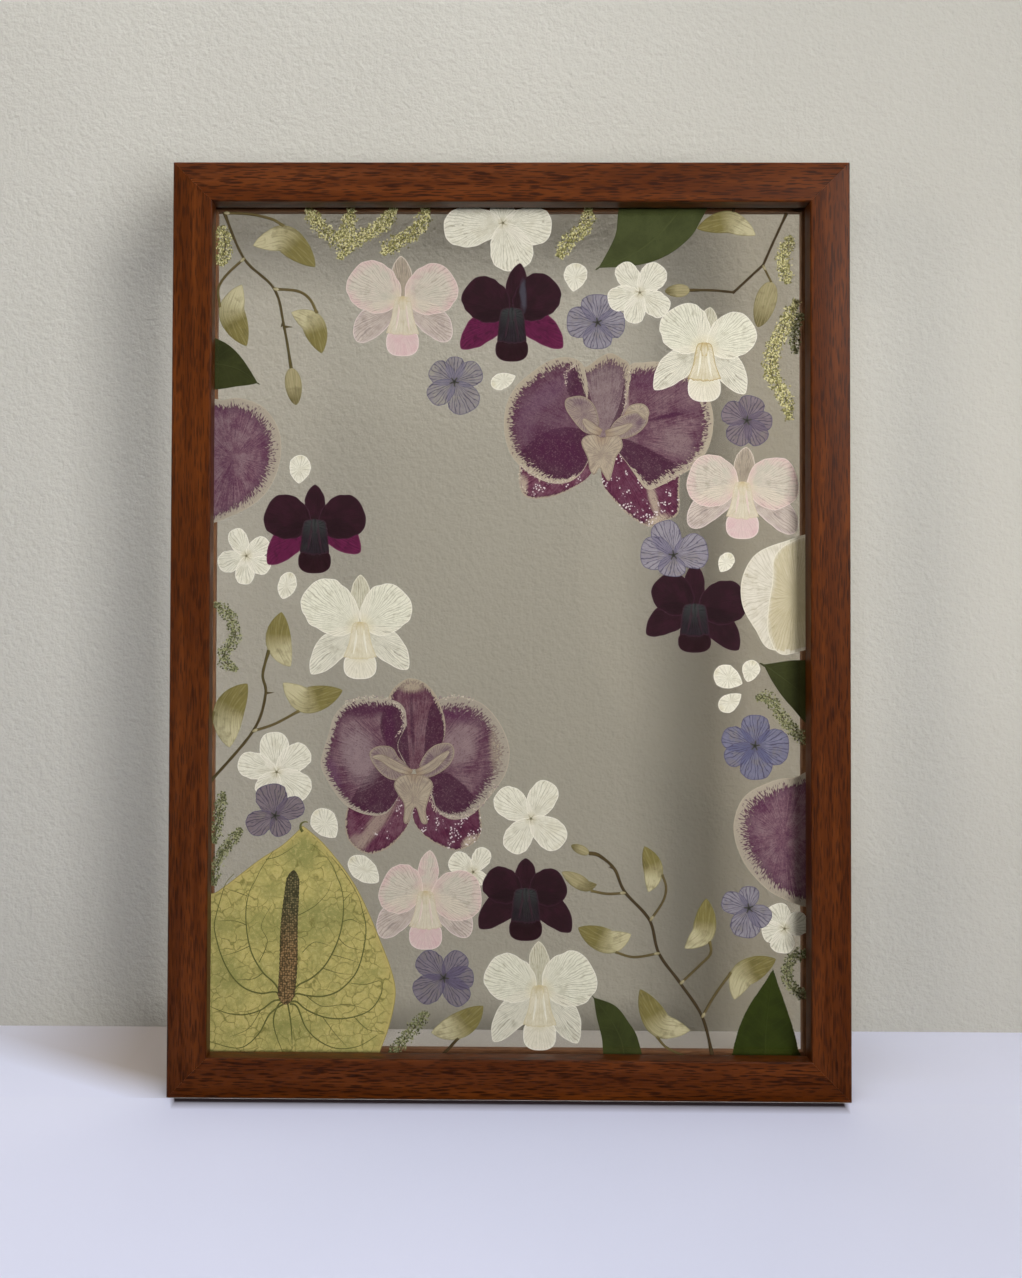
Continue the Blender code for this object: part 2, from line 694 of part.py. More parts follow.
def dendrobium(name, centre, dorsal, petals, sepals, lip, layer, recipe):
    """Two round petals over a top sepal and two pointed lower sepals, with the lip hanging in front. A
    petal is given by the disc that it fills, and reaches from the centre through it to its far edge."""

    def tip_of(offset, stretch=1.0):
        return (centre[0] + offset[0] * stretch, centre[1] + offset[1] * stretch)

    flat = [petal_to(centre, tip_of(dorsal), DORSAL_WIDTH, 0.8, 0.6)]
    for reach, rise, radius in petals:
        middle = (copysign(abs(reach) - radius, reach), rise)
        end = tip_of(middle, 1 + radius / hypot(*middle))
        flat.append(petal_to(centre, end, 2 * radius, 0.8, 0.4, PETAL_POINTS + 2))
    for offset in sepals:
        flat.append(petal_to(centre, tip_of(offset), SEPAL_WIDTH, 0.8, 0.65))
    return pressed(name, flat, layer, recipe, lip_outline(centre, lip))


def moth_orchid(name, tepals, lobes):
    """A phalaenopsis: five broad tepals, and over them two ear-shaped side lobes and a forked lip."""
    return pressed(name, tepals, BACK_LAYER, PURPLE_PETAL, lobes)


def floret(name, centre, petals, layer, recipe):
    """A hydrangea floret: broad papery petals round a small eye."""
    flat = [petal(centre, angle, length, width, 0.6, 0.4) for angle, length, width in petals]
    return pressed(name, flat, layer, recipe, [disc(centre, COLUMN_RADIUS)])


def loose(name, outline, midrib, layer, recipe):
    """A petal, leaf or spathe that lies by itself, with a low rib along it if it has one."""
    rib = []
    if midrib:
        path = smooth(midrib, closed=False)
        rib.append(ribbon(path, [RIB_WIDTH / 2] * len(path)))
    return pressed(name, [smooth(outline, closed=True)], layer, recipe, rib)


def sprig(name, stems, layer):
    """A stalk with its side stems. A bud starts on its stem's last point, and its pointed spur stands
    out from the first third of it. The stem runs on into the bud, which joins them."""
    flat, raised = [], []
    for points, width, bud in stems:
        foot = points[-1]
        apex, bud_width, spur = bud
        root = tuple(0.7 * a + 0.3 * b for a, b in zip(foot, apex))
        path = [*smooth(points, closed=False), root]
        flat.append(ribbon(path, [width / 2] * len(path)))
        raised.append(petal_to(foot, apex, bud_width, 0.45, 0.6, BUD_POINTS))
        if spur is not None:
            raised.append(petal_to(root, spur, 0.6 * bud_width, 0.3, 0.8, BUD_POINTS - 1))
    return pressed(name, flat, layer, BUD_SKIN, raised)


def catkin(name, points, width, layer):
    """A tassel of small grains: a band whose edge swells and narrows from grain to grain."""
    path = smooth(points, closed=False, steps=3)
    widths = [width / 2 * (1.0 if i % 2 else 0.78) for i in range(len(path))]
    widths[0] = widths[-1] = width / 5
    return pressed(name, [ribbon(path, widths)], layer, CATKIN_GRAIN)


def build():
    clear_scene()
    members = (("bottom", "rail"), ("top", "rail"), ("left", "stile"), ("right", "stile"))
    for side, kind in members:
        mitred_member(f"frame_{side}_{kind}", rail_section(), side, MAHOGANY)
        mitred_member(f"bead_{side}", bead_section(), side, BEAD_WOOD)
    pane("glass_front", FRONT_PANE)
    pane("glass_back", BACK_PANE)
    for name, orchid in DENDROBIUMS.items():
        dendrobium(name, *orchid)
    for name, orchid in MOTH_ORCHIDS.items():
        moth_orchid(name, *orchid)
    for name, flower in FLORETS.items():
        floret(name, *flower)
    for name, values in LOOSE.items():
        loose(name, *values)
    spadix = petal_to(SPADIX_TOP, SPADIX_BASE, SPADIX_WIDTH, 0.35, 0.3)
    pressed("anthurium_spadix", [spadix], FRONT_LAYER, SPATHE_SKIN)
    for name, values in SPRIGS.items():
        sprig(name, *values)
    for name, values in CATKINS.items():
        catkin(name, *values)


build()
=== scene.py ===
"""Looks of a pressed flower frame: a stained mahogany moulding round two panes of glass, and between them
orchids, florets, leaves, buds and catkins, each built as thin sheets and grains over its solid in the frame.

Flat places are in millimetres, across and up from the lower left corner of the sight opening.
"""

import logging
import math
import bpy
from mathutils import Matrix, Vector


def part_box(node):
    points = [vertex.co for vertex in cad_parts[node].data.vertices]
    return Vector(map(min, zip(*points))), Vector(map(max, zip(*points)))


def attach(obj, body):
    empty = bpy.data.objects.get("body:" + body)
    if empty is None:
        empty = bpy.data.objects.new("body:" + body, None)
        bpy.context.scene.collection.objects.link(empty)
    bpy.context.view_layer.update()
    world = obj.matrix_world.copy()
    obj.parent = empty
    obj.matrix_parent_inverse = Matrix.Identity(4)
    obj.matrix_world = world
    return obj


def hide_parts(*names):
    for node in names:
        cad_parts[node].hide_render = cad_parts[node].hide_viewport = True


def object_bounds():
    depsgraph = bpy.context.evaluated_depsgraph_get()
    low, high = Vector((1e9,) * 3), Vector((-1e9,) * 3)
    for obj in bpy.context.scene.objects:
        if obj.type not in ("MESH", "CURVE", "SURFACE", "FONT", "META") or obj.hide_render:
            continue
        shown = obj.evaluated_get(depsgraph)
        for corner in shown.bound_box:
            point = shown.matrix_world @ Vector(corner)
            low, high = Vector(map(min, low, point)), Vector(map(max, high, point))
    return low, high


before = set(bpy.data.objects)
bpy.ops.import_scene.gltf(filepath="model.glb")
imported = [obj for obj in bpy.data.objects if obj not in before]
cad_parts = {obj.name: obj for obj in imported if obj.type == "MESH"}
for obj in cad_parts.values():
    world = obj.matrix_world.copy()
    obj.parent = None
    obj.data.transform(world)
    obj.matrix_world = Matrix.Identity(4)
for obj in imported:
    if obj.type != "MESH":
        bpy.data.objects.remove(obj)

import zlib
from dataclasses import dataclass, fields
from enum import Enum

import bpy
import numpy as np

CAD_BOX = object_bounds()
LOG = logging.getLogger("pressed_flower_frame")
Array = np.ndarray
Tree = bpy.types.NodeTree
Node = bpy.types.Node
Socket = bpy.types.NodeSocket
Look = tuple[Socket, Socket | None]  # a colour, and a relief or none
Flat = tuple[float, float]  # a flat place, mm
Outline = tuple[Flat, ...]  # points of a line or of a rim

MM = 0.001  # metres
SHEET_MM = 0.12  # thickness of a pressed sheet
LAYER_AIR_MM = 0.3  # air beside each layer
FAR_MM = 1e4  # further than anything reaches
TURN = 6.3  # a full turn and a little more, radians


# --- the setting, read from the CAD ------------------------------------------------------------------


@dataclass(frozen=True)
class Setting:
    """Where the sight opening lies.

    Attributes:
        left: world X of the opening's left edge, metres.
        bottom: world Z of its bottom edge, metres.
        front: world Y of the frame's front face, metres.
        width: its width, mm.
        height: its height, mm.
        gap_near: depth of the near side of the gap between the panes, mm behind the front face.
        gap: depth of that gap, mm.
    """

    left: float
    bottom: float
    front: float
    width: float
    height: float
    gap_near: float
    gap: float

    @classmethod
    def read(cls) -> "Setting":
        """Reads the opening and the gap from the frame's members and panes.

        Returns:
            The setting.
        """
        left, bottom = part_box("frame_left_stile")[1].x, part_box("frame_bottom_rail")[1].z
        right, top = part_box("frame_right_stile")[0].x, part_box("frame_top_rail")[0].z
        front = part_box("frame_bottom_rail")[0].y
        near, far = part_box("glass_front")[1].y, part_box("glass_back")[0].y
        scaled = [value / MM for value in (right - left, top - bottom, near - front, far - near)]
        return cls(left, bottom, front, *scaled)

    def place(self, flat: Array, depth: Array | float) -> Array:
        """World points, metres, of flat points at a depth in mm behind the front face.

        Args:
            flat: points (..., 2), across and up, mm.
            depth: depth of each, or one for all, mm.

        Returns:
            Points (..., 3).
        """
        depth = np.broadcast_to(depth, flat.shape[:-1])
        across, up = self.left + flat[..., 0] * MM, self.bottom + flat[..., 1] * MM
        return np.stack([across, self.front + depth * MM, up], -1)

    def kept_in(self, flat: Array, run_on: float = 3.2) -> Array:
        """The points with what would run past the glass pulled back under the lip."""
        return np.clip(flat, -run_on, np.array([self.width, self.height]) + run_on)


SETTING = Setting.read()
FACE = (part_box("frame_left_stile")[1].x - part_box("frame_left_stile")[0].x) / MM  # width of the moulding's face, mm


class Layer(Enum):
    """Which of the two layers between the panes a thing is pressed in."""

    FRONT = 0
    BACK = 1

    @property
    def thickness(self) -> float:
        """Thickness of one layer, mm."""
        return (SETTING.gap - 3 * LAYER_AIR_MM) / 2

    def depth(self, step: float) -> float:
        """Depth in mm behind the front face of a step in the layer, from 0 at its far side to 1 at its near side."""
        near = SETTING.gap_near + LAYER_AIR_MM + self.value * (self.thickness + LAYER_AIR_MM)
        return near + (1 - step) * self.thickness


# --- flat outlines -----------------------------------------------------------------------------------


def seeded(name: str) -> np.random.Generator:
    """A random generator that always gives a name the same numbers."""
    return np.random.default_rng(zlib.crc32(name.encode()))


def smooth(points: list[Flat] | Array, closed: bool = False, steps: int = 8) -> Array:
    """Points along a Catmull-Rom curve: between two given points it is the cubic whose slope at each is half
    the step between its neighbours. A point given twice makes a corner.

    Args:
        points: the given points.
        closed: True for a loop.
        steps: points for each span.

    Returns:
        Points (n, 2).
    """
    p = np.asarray(points, float)
    if closed:
        a, b, c, d = (np.roll(p, k, 0) for k in (1, 0, -1, -2))
    else:
        p = np.vstack([p[:1], p, p[-1:]])
        a, b, c, d = p[:-3], p[1:-2], p[2:-1], p[3:]
    t = (np.arange(steps) / steps)[:, None, None]
    cubic = 2 * b + (c - a) * t + (2 * a - 5 * b + 4 * c - d) * t**2 + (3 * b - a - 3 * c + d) * t**3
    curve = 0.5 * cubic.transpose(1, 0, 2).reshape(-1, 2)
    return curve if closed else np.vstack([curve, p[-1:]])


def lengths(line: Array) -> Array:
    """How far along a line each of its points lies."""
    return np.concatenate([[0], np.cumsum(np.hypot(*np.diff(line, axis=0).T))])


def evenly(curve: Array, count: int, closed: bool = False) -> Array:
    """The same curve as count points at equal distances along it.

    Args:
        curve: points (n, 2).
        count: how many points to return.
        closed: whether its end joins its start.

    Returns:
        Points (count, 2).
    """
    line = np.vstack([curve, curve[:1]]) if closed else curve
    run = lengths(line)
    at = np.linspace(0, run[-1], count, endpoint=not closed)
    return np.stack([np.interp(at, run, line[:, i]) for i in (0, 1)], -1)


def traced(points: list[Flat] | Array, count: int, closed: bool = False, steps: int = 8) -> Array:
    """The smooth curve through the points, as count points at equal distances along it."""
    return evenly(smooth(points, closed, steps), count, closed)


def rightwards(path: Array) -> Array:
    """Vectors of length 1 to the right of a path, one at each of its points."""
    slope = np.gradient(path, axis=0)
    return np.stack([slope[:, 1], -slope[:, 0]], -1) / np.hypot(*slope.T)[:, None]


def counterclockwise(outline: Array) -> Array:
    """The outline in the order that has its inside on the left."""
    x, y = outline.T
    return outline if (x * np.roll(y, -1) - np.roll(x, -1) * y).sum() > 0 else outline[::-1]


def petal(base: Flat, tip: Flat, width: float, claw: float, point: float, name: str, count: int = 96,
          bend: float = 0.0) -> Array:
    """A petal's outline. At t along it from base to tip its width goes as t to the power claw times (1 - t) to
    the power point, its middle line lies bend times 4 t (1 - t) to the left, and a few slow waves, different for
    each name, make its edge uneven.

    Args:
        base: where it grows from.
        tip: its far end.
        width: its greatest width, mm.
        claw: above 0.5 it has a narrow foot.
        point: above 0.5 it has a pointed end.
        name: seeds the waves.
        count: points in the outline.
        bend: how far the middle bulges to the left, mm.

    Returns:
        Points (count, 2).
    """
    rng = seeded(name)
    base, along = np.asarray(base, float), np.subtract(tip, base)
    side = np.array([-along[1], along[0]]) / np.hypot(*along)
    turn = np.linspace(0, 2 * math.pi, 4 * count, endpoint=False)
    t = (1 - np.cos(turn)) / 2
    peak = claw / (claw + point)
    half = width / 2 * t**claw * (1 - t) ** point / (peak**claw * (1 - peak) ** point)
    waves = sum(rng.uniform(0.006, 0.02) * np.sin(k * turn + rng.uniform(0, TURN)) for k in (3, 5, 8, 13))
    offset = np.where(turn < math.pi, 1, -1) * half * (1 + waves) + bend * 4 * t * (1 - t)
    outline = base + t[:, None] * along + offset[:, None] * side
    return evenly(outline, count, closed=True)


def inside(points: Array, outline: Array) -> Array:
    """True for each point inside a closed outline: a ray to its right crosses the outline an odd number of times.

    Args:
        points: flat points (..., 2).
        outline: points (n, 2).

    Returns:
        Booleans, one for each point.
    """
    x, y = points[..., 0, None], points[..., 1, None]
    a, b = outline, np.roll(outline, -1, 0)
    between = (a[:, 1] > y) != (b[:, 1] > y)
    rise = np.where(b[:, 1] == a[:, 1], 1, b[:, 1] - a[:, 1])
    crossing = (b[:, 0] - a[:, 0]) * (y - a[:, 1]) / rise + a[:, 0]
    return (between & (x < crossing)).sum(-1) % 2 == 1


def rim_distance(points: Array, outline: Array) -> Array:
    """Distance of each point from the nearest stretch of a closed outline, mm.

    Args:
        points: flat points (..., 2).
        outline: points (n, 2).

    Returns:
        The distances, mm.
    """
    a, run = outline, np.roll(outline, -1, 0) - outline
    offset = points[..., None, :] - a
    share = np.clip((offset * run).sum(-1) / (run * run).sum(-1), 0, 1)
    return np.sqrt(((offset - share[..., None] * run) ** 2).sum(-1).min(-1))


# --- surfaces ----------------------------------------------------------------------------------------


@dataclass
class Surface:
    """One closed surface, and what its finish reads at each of its points.

    Attributes:
        points: world places (n, 3), metres.
        faces: arrays of quads and triangles, rows of point numbers, seen from outside counterclockwise.
        grain: flat coordinates (n, 2) that follow the surface, mm.
        growth: (n, 3): distance from the rim, mm; distance from the root, mm; and a third value that the
            surface's own function explains.
        finish: what it is dressed in.
        turn_mm: added to the first flat coordinate where the faces close a ring, so that it doesn't jump back.
        around: points in a ring, where that is needed.
    """

    points: Array
    faces: list[Array]
    grain: Array
    growth: Array
    finish: "Finish"
    turn_mm: float = 0.0
    around: int = 0

    def corner_grain(self) -> Array:
        """Flat coordinates of every corner of every face, in the order of the faces. In a shell, whose rings
        start at a point numbered 1 more than a multiple of their length, the first point also ends the ring.

        Returns:
            Points (n, 2), mm.
        """
        flat = []
        for group in self.faces:
            grain = self.grain[group]
            if self.turn_mm:
                closing = np.arange(len(group)) % self.around == self.around - 1
                first = (group - 1) % self.around == 0
                inner = (group > 0) & (group < len(self.points) - 1)
                grain[..., 0] += self.turn_mm * (closing[:, None] & first & inner)
            flat.append(grain.reshape(-1, 2))
        return np.concatenate(flat)


def shell(rings: Array, poles: Array, grain: Array, growth: Array, finish: "Finish") -> Surface:
    """A closed surface: rings of points one after another, joined by quads, with a pole at each end.

    Args:
        rings: world places (r, k, 3).
        poles: the two poles (2, 3).
        grain: flat coordinates (r, k, 2).
        growth: values (r, k, 3).
        finish: what it is dressed in.

    Returns:
        The surface. A pole takes the mean of its ring's values.
    """
    count, around = rings.shape[:2]
    k = np.arange(around)
    after = np.roll(k, -1)
    start = 1 + np.arange(count - 1)[:, None] * around
    quads = np.stack([start + k, start + around + k, start + around + after, start + after], -1).reshape(-1, 4)
    last = 1 + (count - 1) * around
    end = np.full(around, count * around + 1)
    caps = np.vstack([np.stack([0 * k, 1 + k, 1 + after], -1), np.stack([end, last + after, last + k], -1)])

    def with_poles(values: Array) -> Array:
        """The values of all points in order, first pole first."""
        return np.vstack([values[0].mean(0), values.reshape(-1, values.shape[-1]), values[-1].mean(0)])

    points = np.vstack([poles[:1], rings.reshape(-1, 3), poles[1:]])
    return Surface(points, [quads, caps], with_poles(grain), with_poles(growth), finish)


def sheet(outline: Array, root: Flat, depth: float, finish: "Finish", name: str, rows: int = 12,
          behind: list[Array] | tuple[Array, ...] = (), crinkle: float = 0.03, pole: Flat | None = None) -> Surface:
    """A thin sheet with a free outline. Its points are pole + t (outline - pole), with t from 0 to 1 over the
    front and back to 0 over the rear. Slow waves along and round it, crinkle times the sine of both, lift it.

    Args:
        outline: its rim (n, 2), mm.
        root: where it grows from, from which its grain runs.
        depth: depth of its front, mm.
        finish: what it is dressed in.
        name: seeds the waves.
        rows: rings of points over the front.
        behind: outlines of sheets behind it. The third growth value counts those that a point covers.
        crinkle: height of the waves, mm.
        pole: where the rings close. By default it is a little way from the root to the middle.

    Returns:
        The closed sheet.
    """
    rng = seeded(name)
    rim = counterclockwise(outline)
    pole = np.asarray(root, float) + 0.08 * (rim.mean(0) - root) if pole is None else np.asarray(pole, float)
    t = np.concatenate([np.linspace(0, 1, rows + 1)[1:] ** 0.85, [1.0, 0.5]])
    flat = pole + t[:, None, None] * (rim - pole)
    run = lengths(rim)
    turn = 2 * math.pi * run / run[-1]
    waves = sum(np.sin(k * turn + m * math.pi * t[:, None] + rng.uniform(0, TURN))
                for k, m in ((2, 1), (5, 2), (9, 3), (14, 1)))
    rear = np.arange(len(t))[:, None] >= rows
    lifted = depth + crinkle * waves * t[:, None] * 0.5 + np.where(rear, SHEET_MM, 0)
    reach = np.hypot(*np.moveaxis(flat - np.asarray(root), -1, 0))
    covered = sum((inside(flat, other).astype(float) for other in behind), np.zeros(flat.shape[:-1]))
    growth = np.stack([rim_distance(flat, rim), reach, covered], -1)
    grain = np.stack([np.broadcast_to(run, reach.shape), reach], -1)
    ends = SETTING.place(np.array([pole, pole]), np.array([lifted[0].mean(), lifted[-1].mean()]))
    made = shell(SETTING.place(SETTING.kept_in(flat), lifted), ends, grain, growth, finish)
    made.turn_mm, made.around = run[-1] * len(rim) / (len(rim) - 1), len(rim)
    made.growth[[0, -1], 0] = rim_distance(pole[None], rim)
    made.growth[[0, -1], 2] = sum(float(inside(pole, other)) for other in behind)
    return made


def pod(path: Array, half_widths: Array, depth: float, thickness: float, finish: "Finish", around: int = 12,
        flatness: float = 1.0) -> Surface:
    """A closed form carried along a path, with an oval section. At angle a its point is the path's point plus
    half a width times cos a to the right of it, and half a thickness times sin a to the power flatness
    towards the front.

    Args:
        path: its middle line (n, 2), mm.
        half_widths: half its width at each of those points, mm.
        depth: depth of its middle, mm.
        thickness: its greatest thickness, mm.
        finish: what it is dressed in.
        around: points in its section.
        flatness: 1 for an oval, and below 1 for a flat section with round edges.

    Returns:
        The closed form. The third growth value is how far along it a point is, from 0 to 1.
    """
    a = 2 * math.pi * np.arange(around) / around
    across = half_widths[:, None] * np.cos(a)
    flat = path[:, None] + across[..., None] * rightwards(path)[:, None]
    rounded = np.sign(np.sin(a)) * np.abs(np.sin(a)) ** flatness
    half_thick = thickness / 2 * (half_widths / half_widths.max()) ** 0.5
    run = lengths(path)
    along = np.broadcast_to(run[:, None], across.shape)
    growth = np.stack([half_widths[:, None] - np.abs(across), along, along / run[-1]], -1)
    grain = np.stack([across, along], -1)
    ends = SETTING.place(SETTING.kept_in(path[[0, -1]]), depth)
    rings = SETTING.place(SETTING.kept_in(flat), depth - half_thick[:, None] * rounded)
    return shell(rings, ends, grain, growth, finish)


ICOSAHEDRON_FACES = np.array([
    [0, 11, 5], [0, 5, 1], [0, 1, 7], [0, 7, 10], [0, 10, 11], [1, 5, 9], [5, 11, 4], [11, 10, 2], [10, 7, 6],
    [7, 1, 8], [3, 9, 4], [3, 4, 2], [3, 2, 6], [3, 6, 8], [3, 8, 9], [4, 9, 5], [2, 4, 11], [6, 2, 10],
    [8, 6, 7], [9, 8, 1],
])


def icosahedron() -> Array:
    """The twelve corners of an icosahedron of radius 1, from the golden ratio.

    Returns:
        Points (12, 3).
    """
    g = (1 + math.sqrt(5)) / 2
    corners = [(-1, g, 0), (1, g, 0), (-1, -g, 0), (1, -g, 0), (0, -1, g), (0, 1, g), (0, -1, -g), (0, 1, -g),
               (g, 0, -1), (g, 0, 1), (-g, 0, -1), (-g, 0, 1)]
    return np.array(corners, float) / math.hypot(1, g)


def grains(flat: Array, depth: Array, size: Array, lean: Array, finish: "Finish", values: Array) -> Surface:
    """Many small twenty-sided grains in one surface.

    Args:
        flat: their middles (n, 2), mm.
        depth: depth of each, mm.
        size: half sizes (n, 3) along the grain, across it and in depth, mm.
        lean: direction of each, radians.
        finish: what they are dressed in.
        values: a value from 0 to 1 for each, kept as the third growth value.

    Returns:
        The joined grains.
    """
    ball = icosahedron()
    scaled = ball[None] * size[:, None]
    c, s = np.cos(lean)[:, None], np.sin(lean)[:, None]
    turned = np.stack([scaled[..., 0] * c - scaled[..., 1] * s, scaled[..., 0] * s + scaled[..., 1] * c], -1)
    places = flat[:, None] + turned
    points = SETTING.place(SETTING.kept_in(places), depth[:, None] - scaled[..., 2]).reshape(-1, 3)
    faces = (ICOSAHEDRON_FACES[None] + len(ball) * np.arange(len(flat))[:, None, None]).reshape(-1, 3)
    shade = np.repeat(values, len(ball))
    growth = np.stack([np.ones_like(shade), np.tile(ball[:, 2], len(flat)), shade], -1)
    return Surface(points, [faces], places.reshape(-1, 2), growth, finish)


@dataclass
class Piece:
    """One object of the part, joined from surfaces.

    Attributes:
        name: the object's name.
        surfaces: what it is made of.
    """

    name: str
    surfaces: list[Surface]

    def make(self, slot: str, *nodes: str, sharp_degrees: float = 40, shadow: bool = False) -> None:
        """Makes the object, which rides on the root.

        Args:
            slot: the record's material slot that it belongs to. Not used.
            nodes: the CAD nodes that it stands for.
            sharp_degrees: edges that turn further than this stay sharp.
            shadow: True for what casts a shadow. Pressed petals let so much light through that they hardly do.
        """
        starts = np.cumsum([0] + [len(s.points) for s in self.surfaces])
        groups = [group + first for s, first in zip(self.surfaces, starts) for group in s.faces]
        finishes = list(dict.fromkeys(s.finish for s in self.surfaces))
        worn = [finishes.index(s.finish) for s in self.surfaces for _ in s.faces]
        mesh = bpy.data.meshes.new(self.name)
        mesh.vertices.add(starts[-1])
        mesh.vertices.foreach_set("co", np.concatenate([s.points for s in self.surfaces]).ravel())
        corners = np.concatenate([group.ravel() for group in groups])
        sizes = np.concatenate([np.full(len(group), group.shape[1]) for group in groups])
        mesh.loops.add(len(corners))
        mesh.loops.foreach_set("vertex_index", corners.astype(np.int32))
        mesh.polygons.add(len(sizes))
        mesh.polygons.foreach_set("loop_start", (np.cumsum(sizes) - sizes).astype(np.int32))
        wearing = np.concatenate([np.full(len(group), index) for group, index in zip(groups, worn)])
        mesh.polygons.foreach_set("material_index", wearing.astype(np.int32))
        grain = mesh.uv_layers.new(name="grain")
        grain.data.foreach_set("uv", np.concatenate([s.corner_grain() for s in self.surfaces]).ravel())
        growth = mesh.attributes.new("growth", "FLOAT_VECTOR", "POINT")
        growth.data.foreach_set("vector", np.concatenate([s.growth for s in self.surfaces]).ravel())
        mesh.update(calc_edges=True)
        mesh.polygons.foreach_set("use_smooth", np.ones(len(sizes), bool))
        mesh.set_sharp_from_angle(angle=math.radians(sharp_degrees))
        mesh.validate()
        for finish in finishes:
            mesh.materials.append(finish.material())
        made = bpy.data.objects.new(self.name, mesh)
        made.visible_shadow = shadow
        bpy.context.scene.collection.objects.link(made)
        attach(made, "root")
        if nodes:
            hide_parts(*nodes)
        LOG.info("%s: %d faces, stands for %s", self.name, len(sizes), ", ".join(nodes) or "no node")


# --- finishes ----------------------------------------------------------------------------------------


def linear(hex_colour: str) -> tuple[float, float, float, float]:
    """The linear colour of an sRGB hex value such as "8c5a33"."""
    values = [int(hex_colour[i : i + 2], 16) / 255 for i in (0, 2, 4)]
    return *[v / 12.92 if v <= 0.04045 else ((v + 0.055) / 1.055) ** 2.4 for v in values], 1.0


def add(tree: Tree, kind: str, inputs: dict[int | str, object] | None = None, **settings: object) -> Node:
    """Adds a node.

    Args:
        tree: the tree that it joins.
        kind: its type without "ShaderNode".
        inputs: for each input, by name or number, a value, a hex colour, a socket, or a node whose first output
            is meant.
        settings: values of its properties.

    Returns:
        The node.
    """
    node = tree.nodes.new("ShaderNode" + kind)
    for key, value in settings.items():
        setattr(node, key, value)
    for key, value in (inputs or {}).items():
        value = value.outputs[0] if isinstance(value, Node) else value
        if isinstance(value, Socket):
            tree.links.new(value, node.inputs[key])
        else:
            node.inputs[key].default_value = linear(value) if isinstance(value, str) else value
    return node


@dataclass(frozen=True)
class Coat:
    """A colour laid over what is below it.

    Attributes:
        source: what says where it lies, a socket or a node's first output.
        start: the source's value where there is none of it.
        full: the source's value where it is strongest.
        colour: its hex value.
        strength: how much it hides at its strongest, from 0 to 1.
    """

    source: Socket | Node
    start: float
    full: float
    colour: str
    strength: float = 1.0


@dataclass(frozen=True)
class Mark:
    """An oval blush at one place of a pressed flower.

    Attributes:
        at: its middle.
        size: half its length and half its width, mm.
        turn: the length's direction, degrees.
        colour: its hex value.
        strength: how much it hides, from 0 to 1.
    """

    at: Flat
    size: Flat
    turn: float
    colour: str
    strength: float

    def coat(self, tree: Tree, place: Socket, ragged: Socket) -> Coat:
        """The coat that paints it: strongest where the place, brought to the oval's own axes, is nearest.

        Args:
            tree: the material's tree.
            place: the place on the piece, mm.
            ragged: a cloudy pattern that tears its rim.

        Returns:
            The coat.
        """
        middle = SETTING.place(np.array(self.at, float), 0.0) / MM
        oval = {"Location": (middle[0], 0, middle[2]), "Rotation": (0, -math.radians(self.turn), 0),
                "Scale": (self.size[0], FAR_MM, self.size[1])}
        turned = add(tree, "Mapping", {"Vector": place, **oval}, vector_type="TEXTURE")
        near = add(tree, "VectorMath", {0: turned}, operation="LENGTH").outputs["Value"]
        torn = add(tree, "Math", {0: ragged, 1: 1.3, 2: near}, operation="MULTIPLY_ADD")
        return Coat(torn, 1.85, 1.25, self.colour, self.strength)


def paint(tree: Tree, ground: str | Socket, coats: list[Coat]) -> Socket:
    """The colour of a ground under coats, the first coat lowest.

    Args:
        tree: the material's tree.
        ground: the colour below all coats.
        coats: what is laid over it.

    Returns:
        The colour on top.
    """
    colour = ground
    for coat in coats:
        where = add(tree, "MapRange", {0: coat.source, 1: coat.start, 2: coat.full, 4: coat.strength})
        mixed = add(tree, "Mix", {0: where, 6: colour, 7: coat.colour}, data_type="RGBA")
        colour = mixed.outputs[2]
    return colour


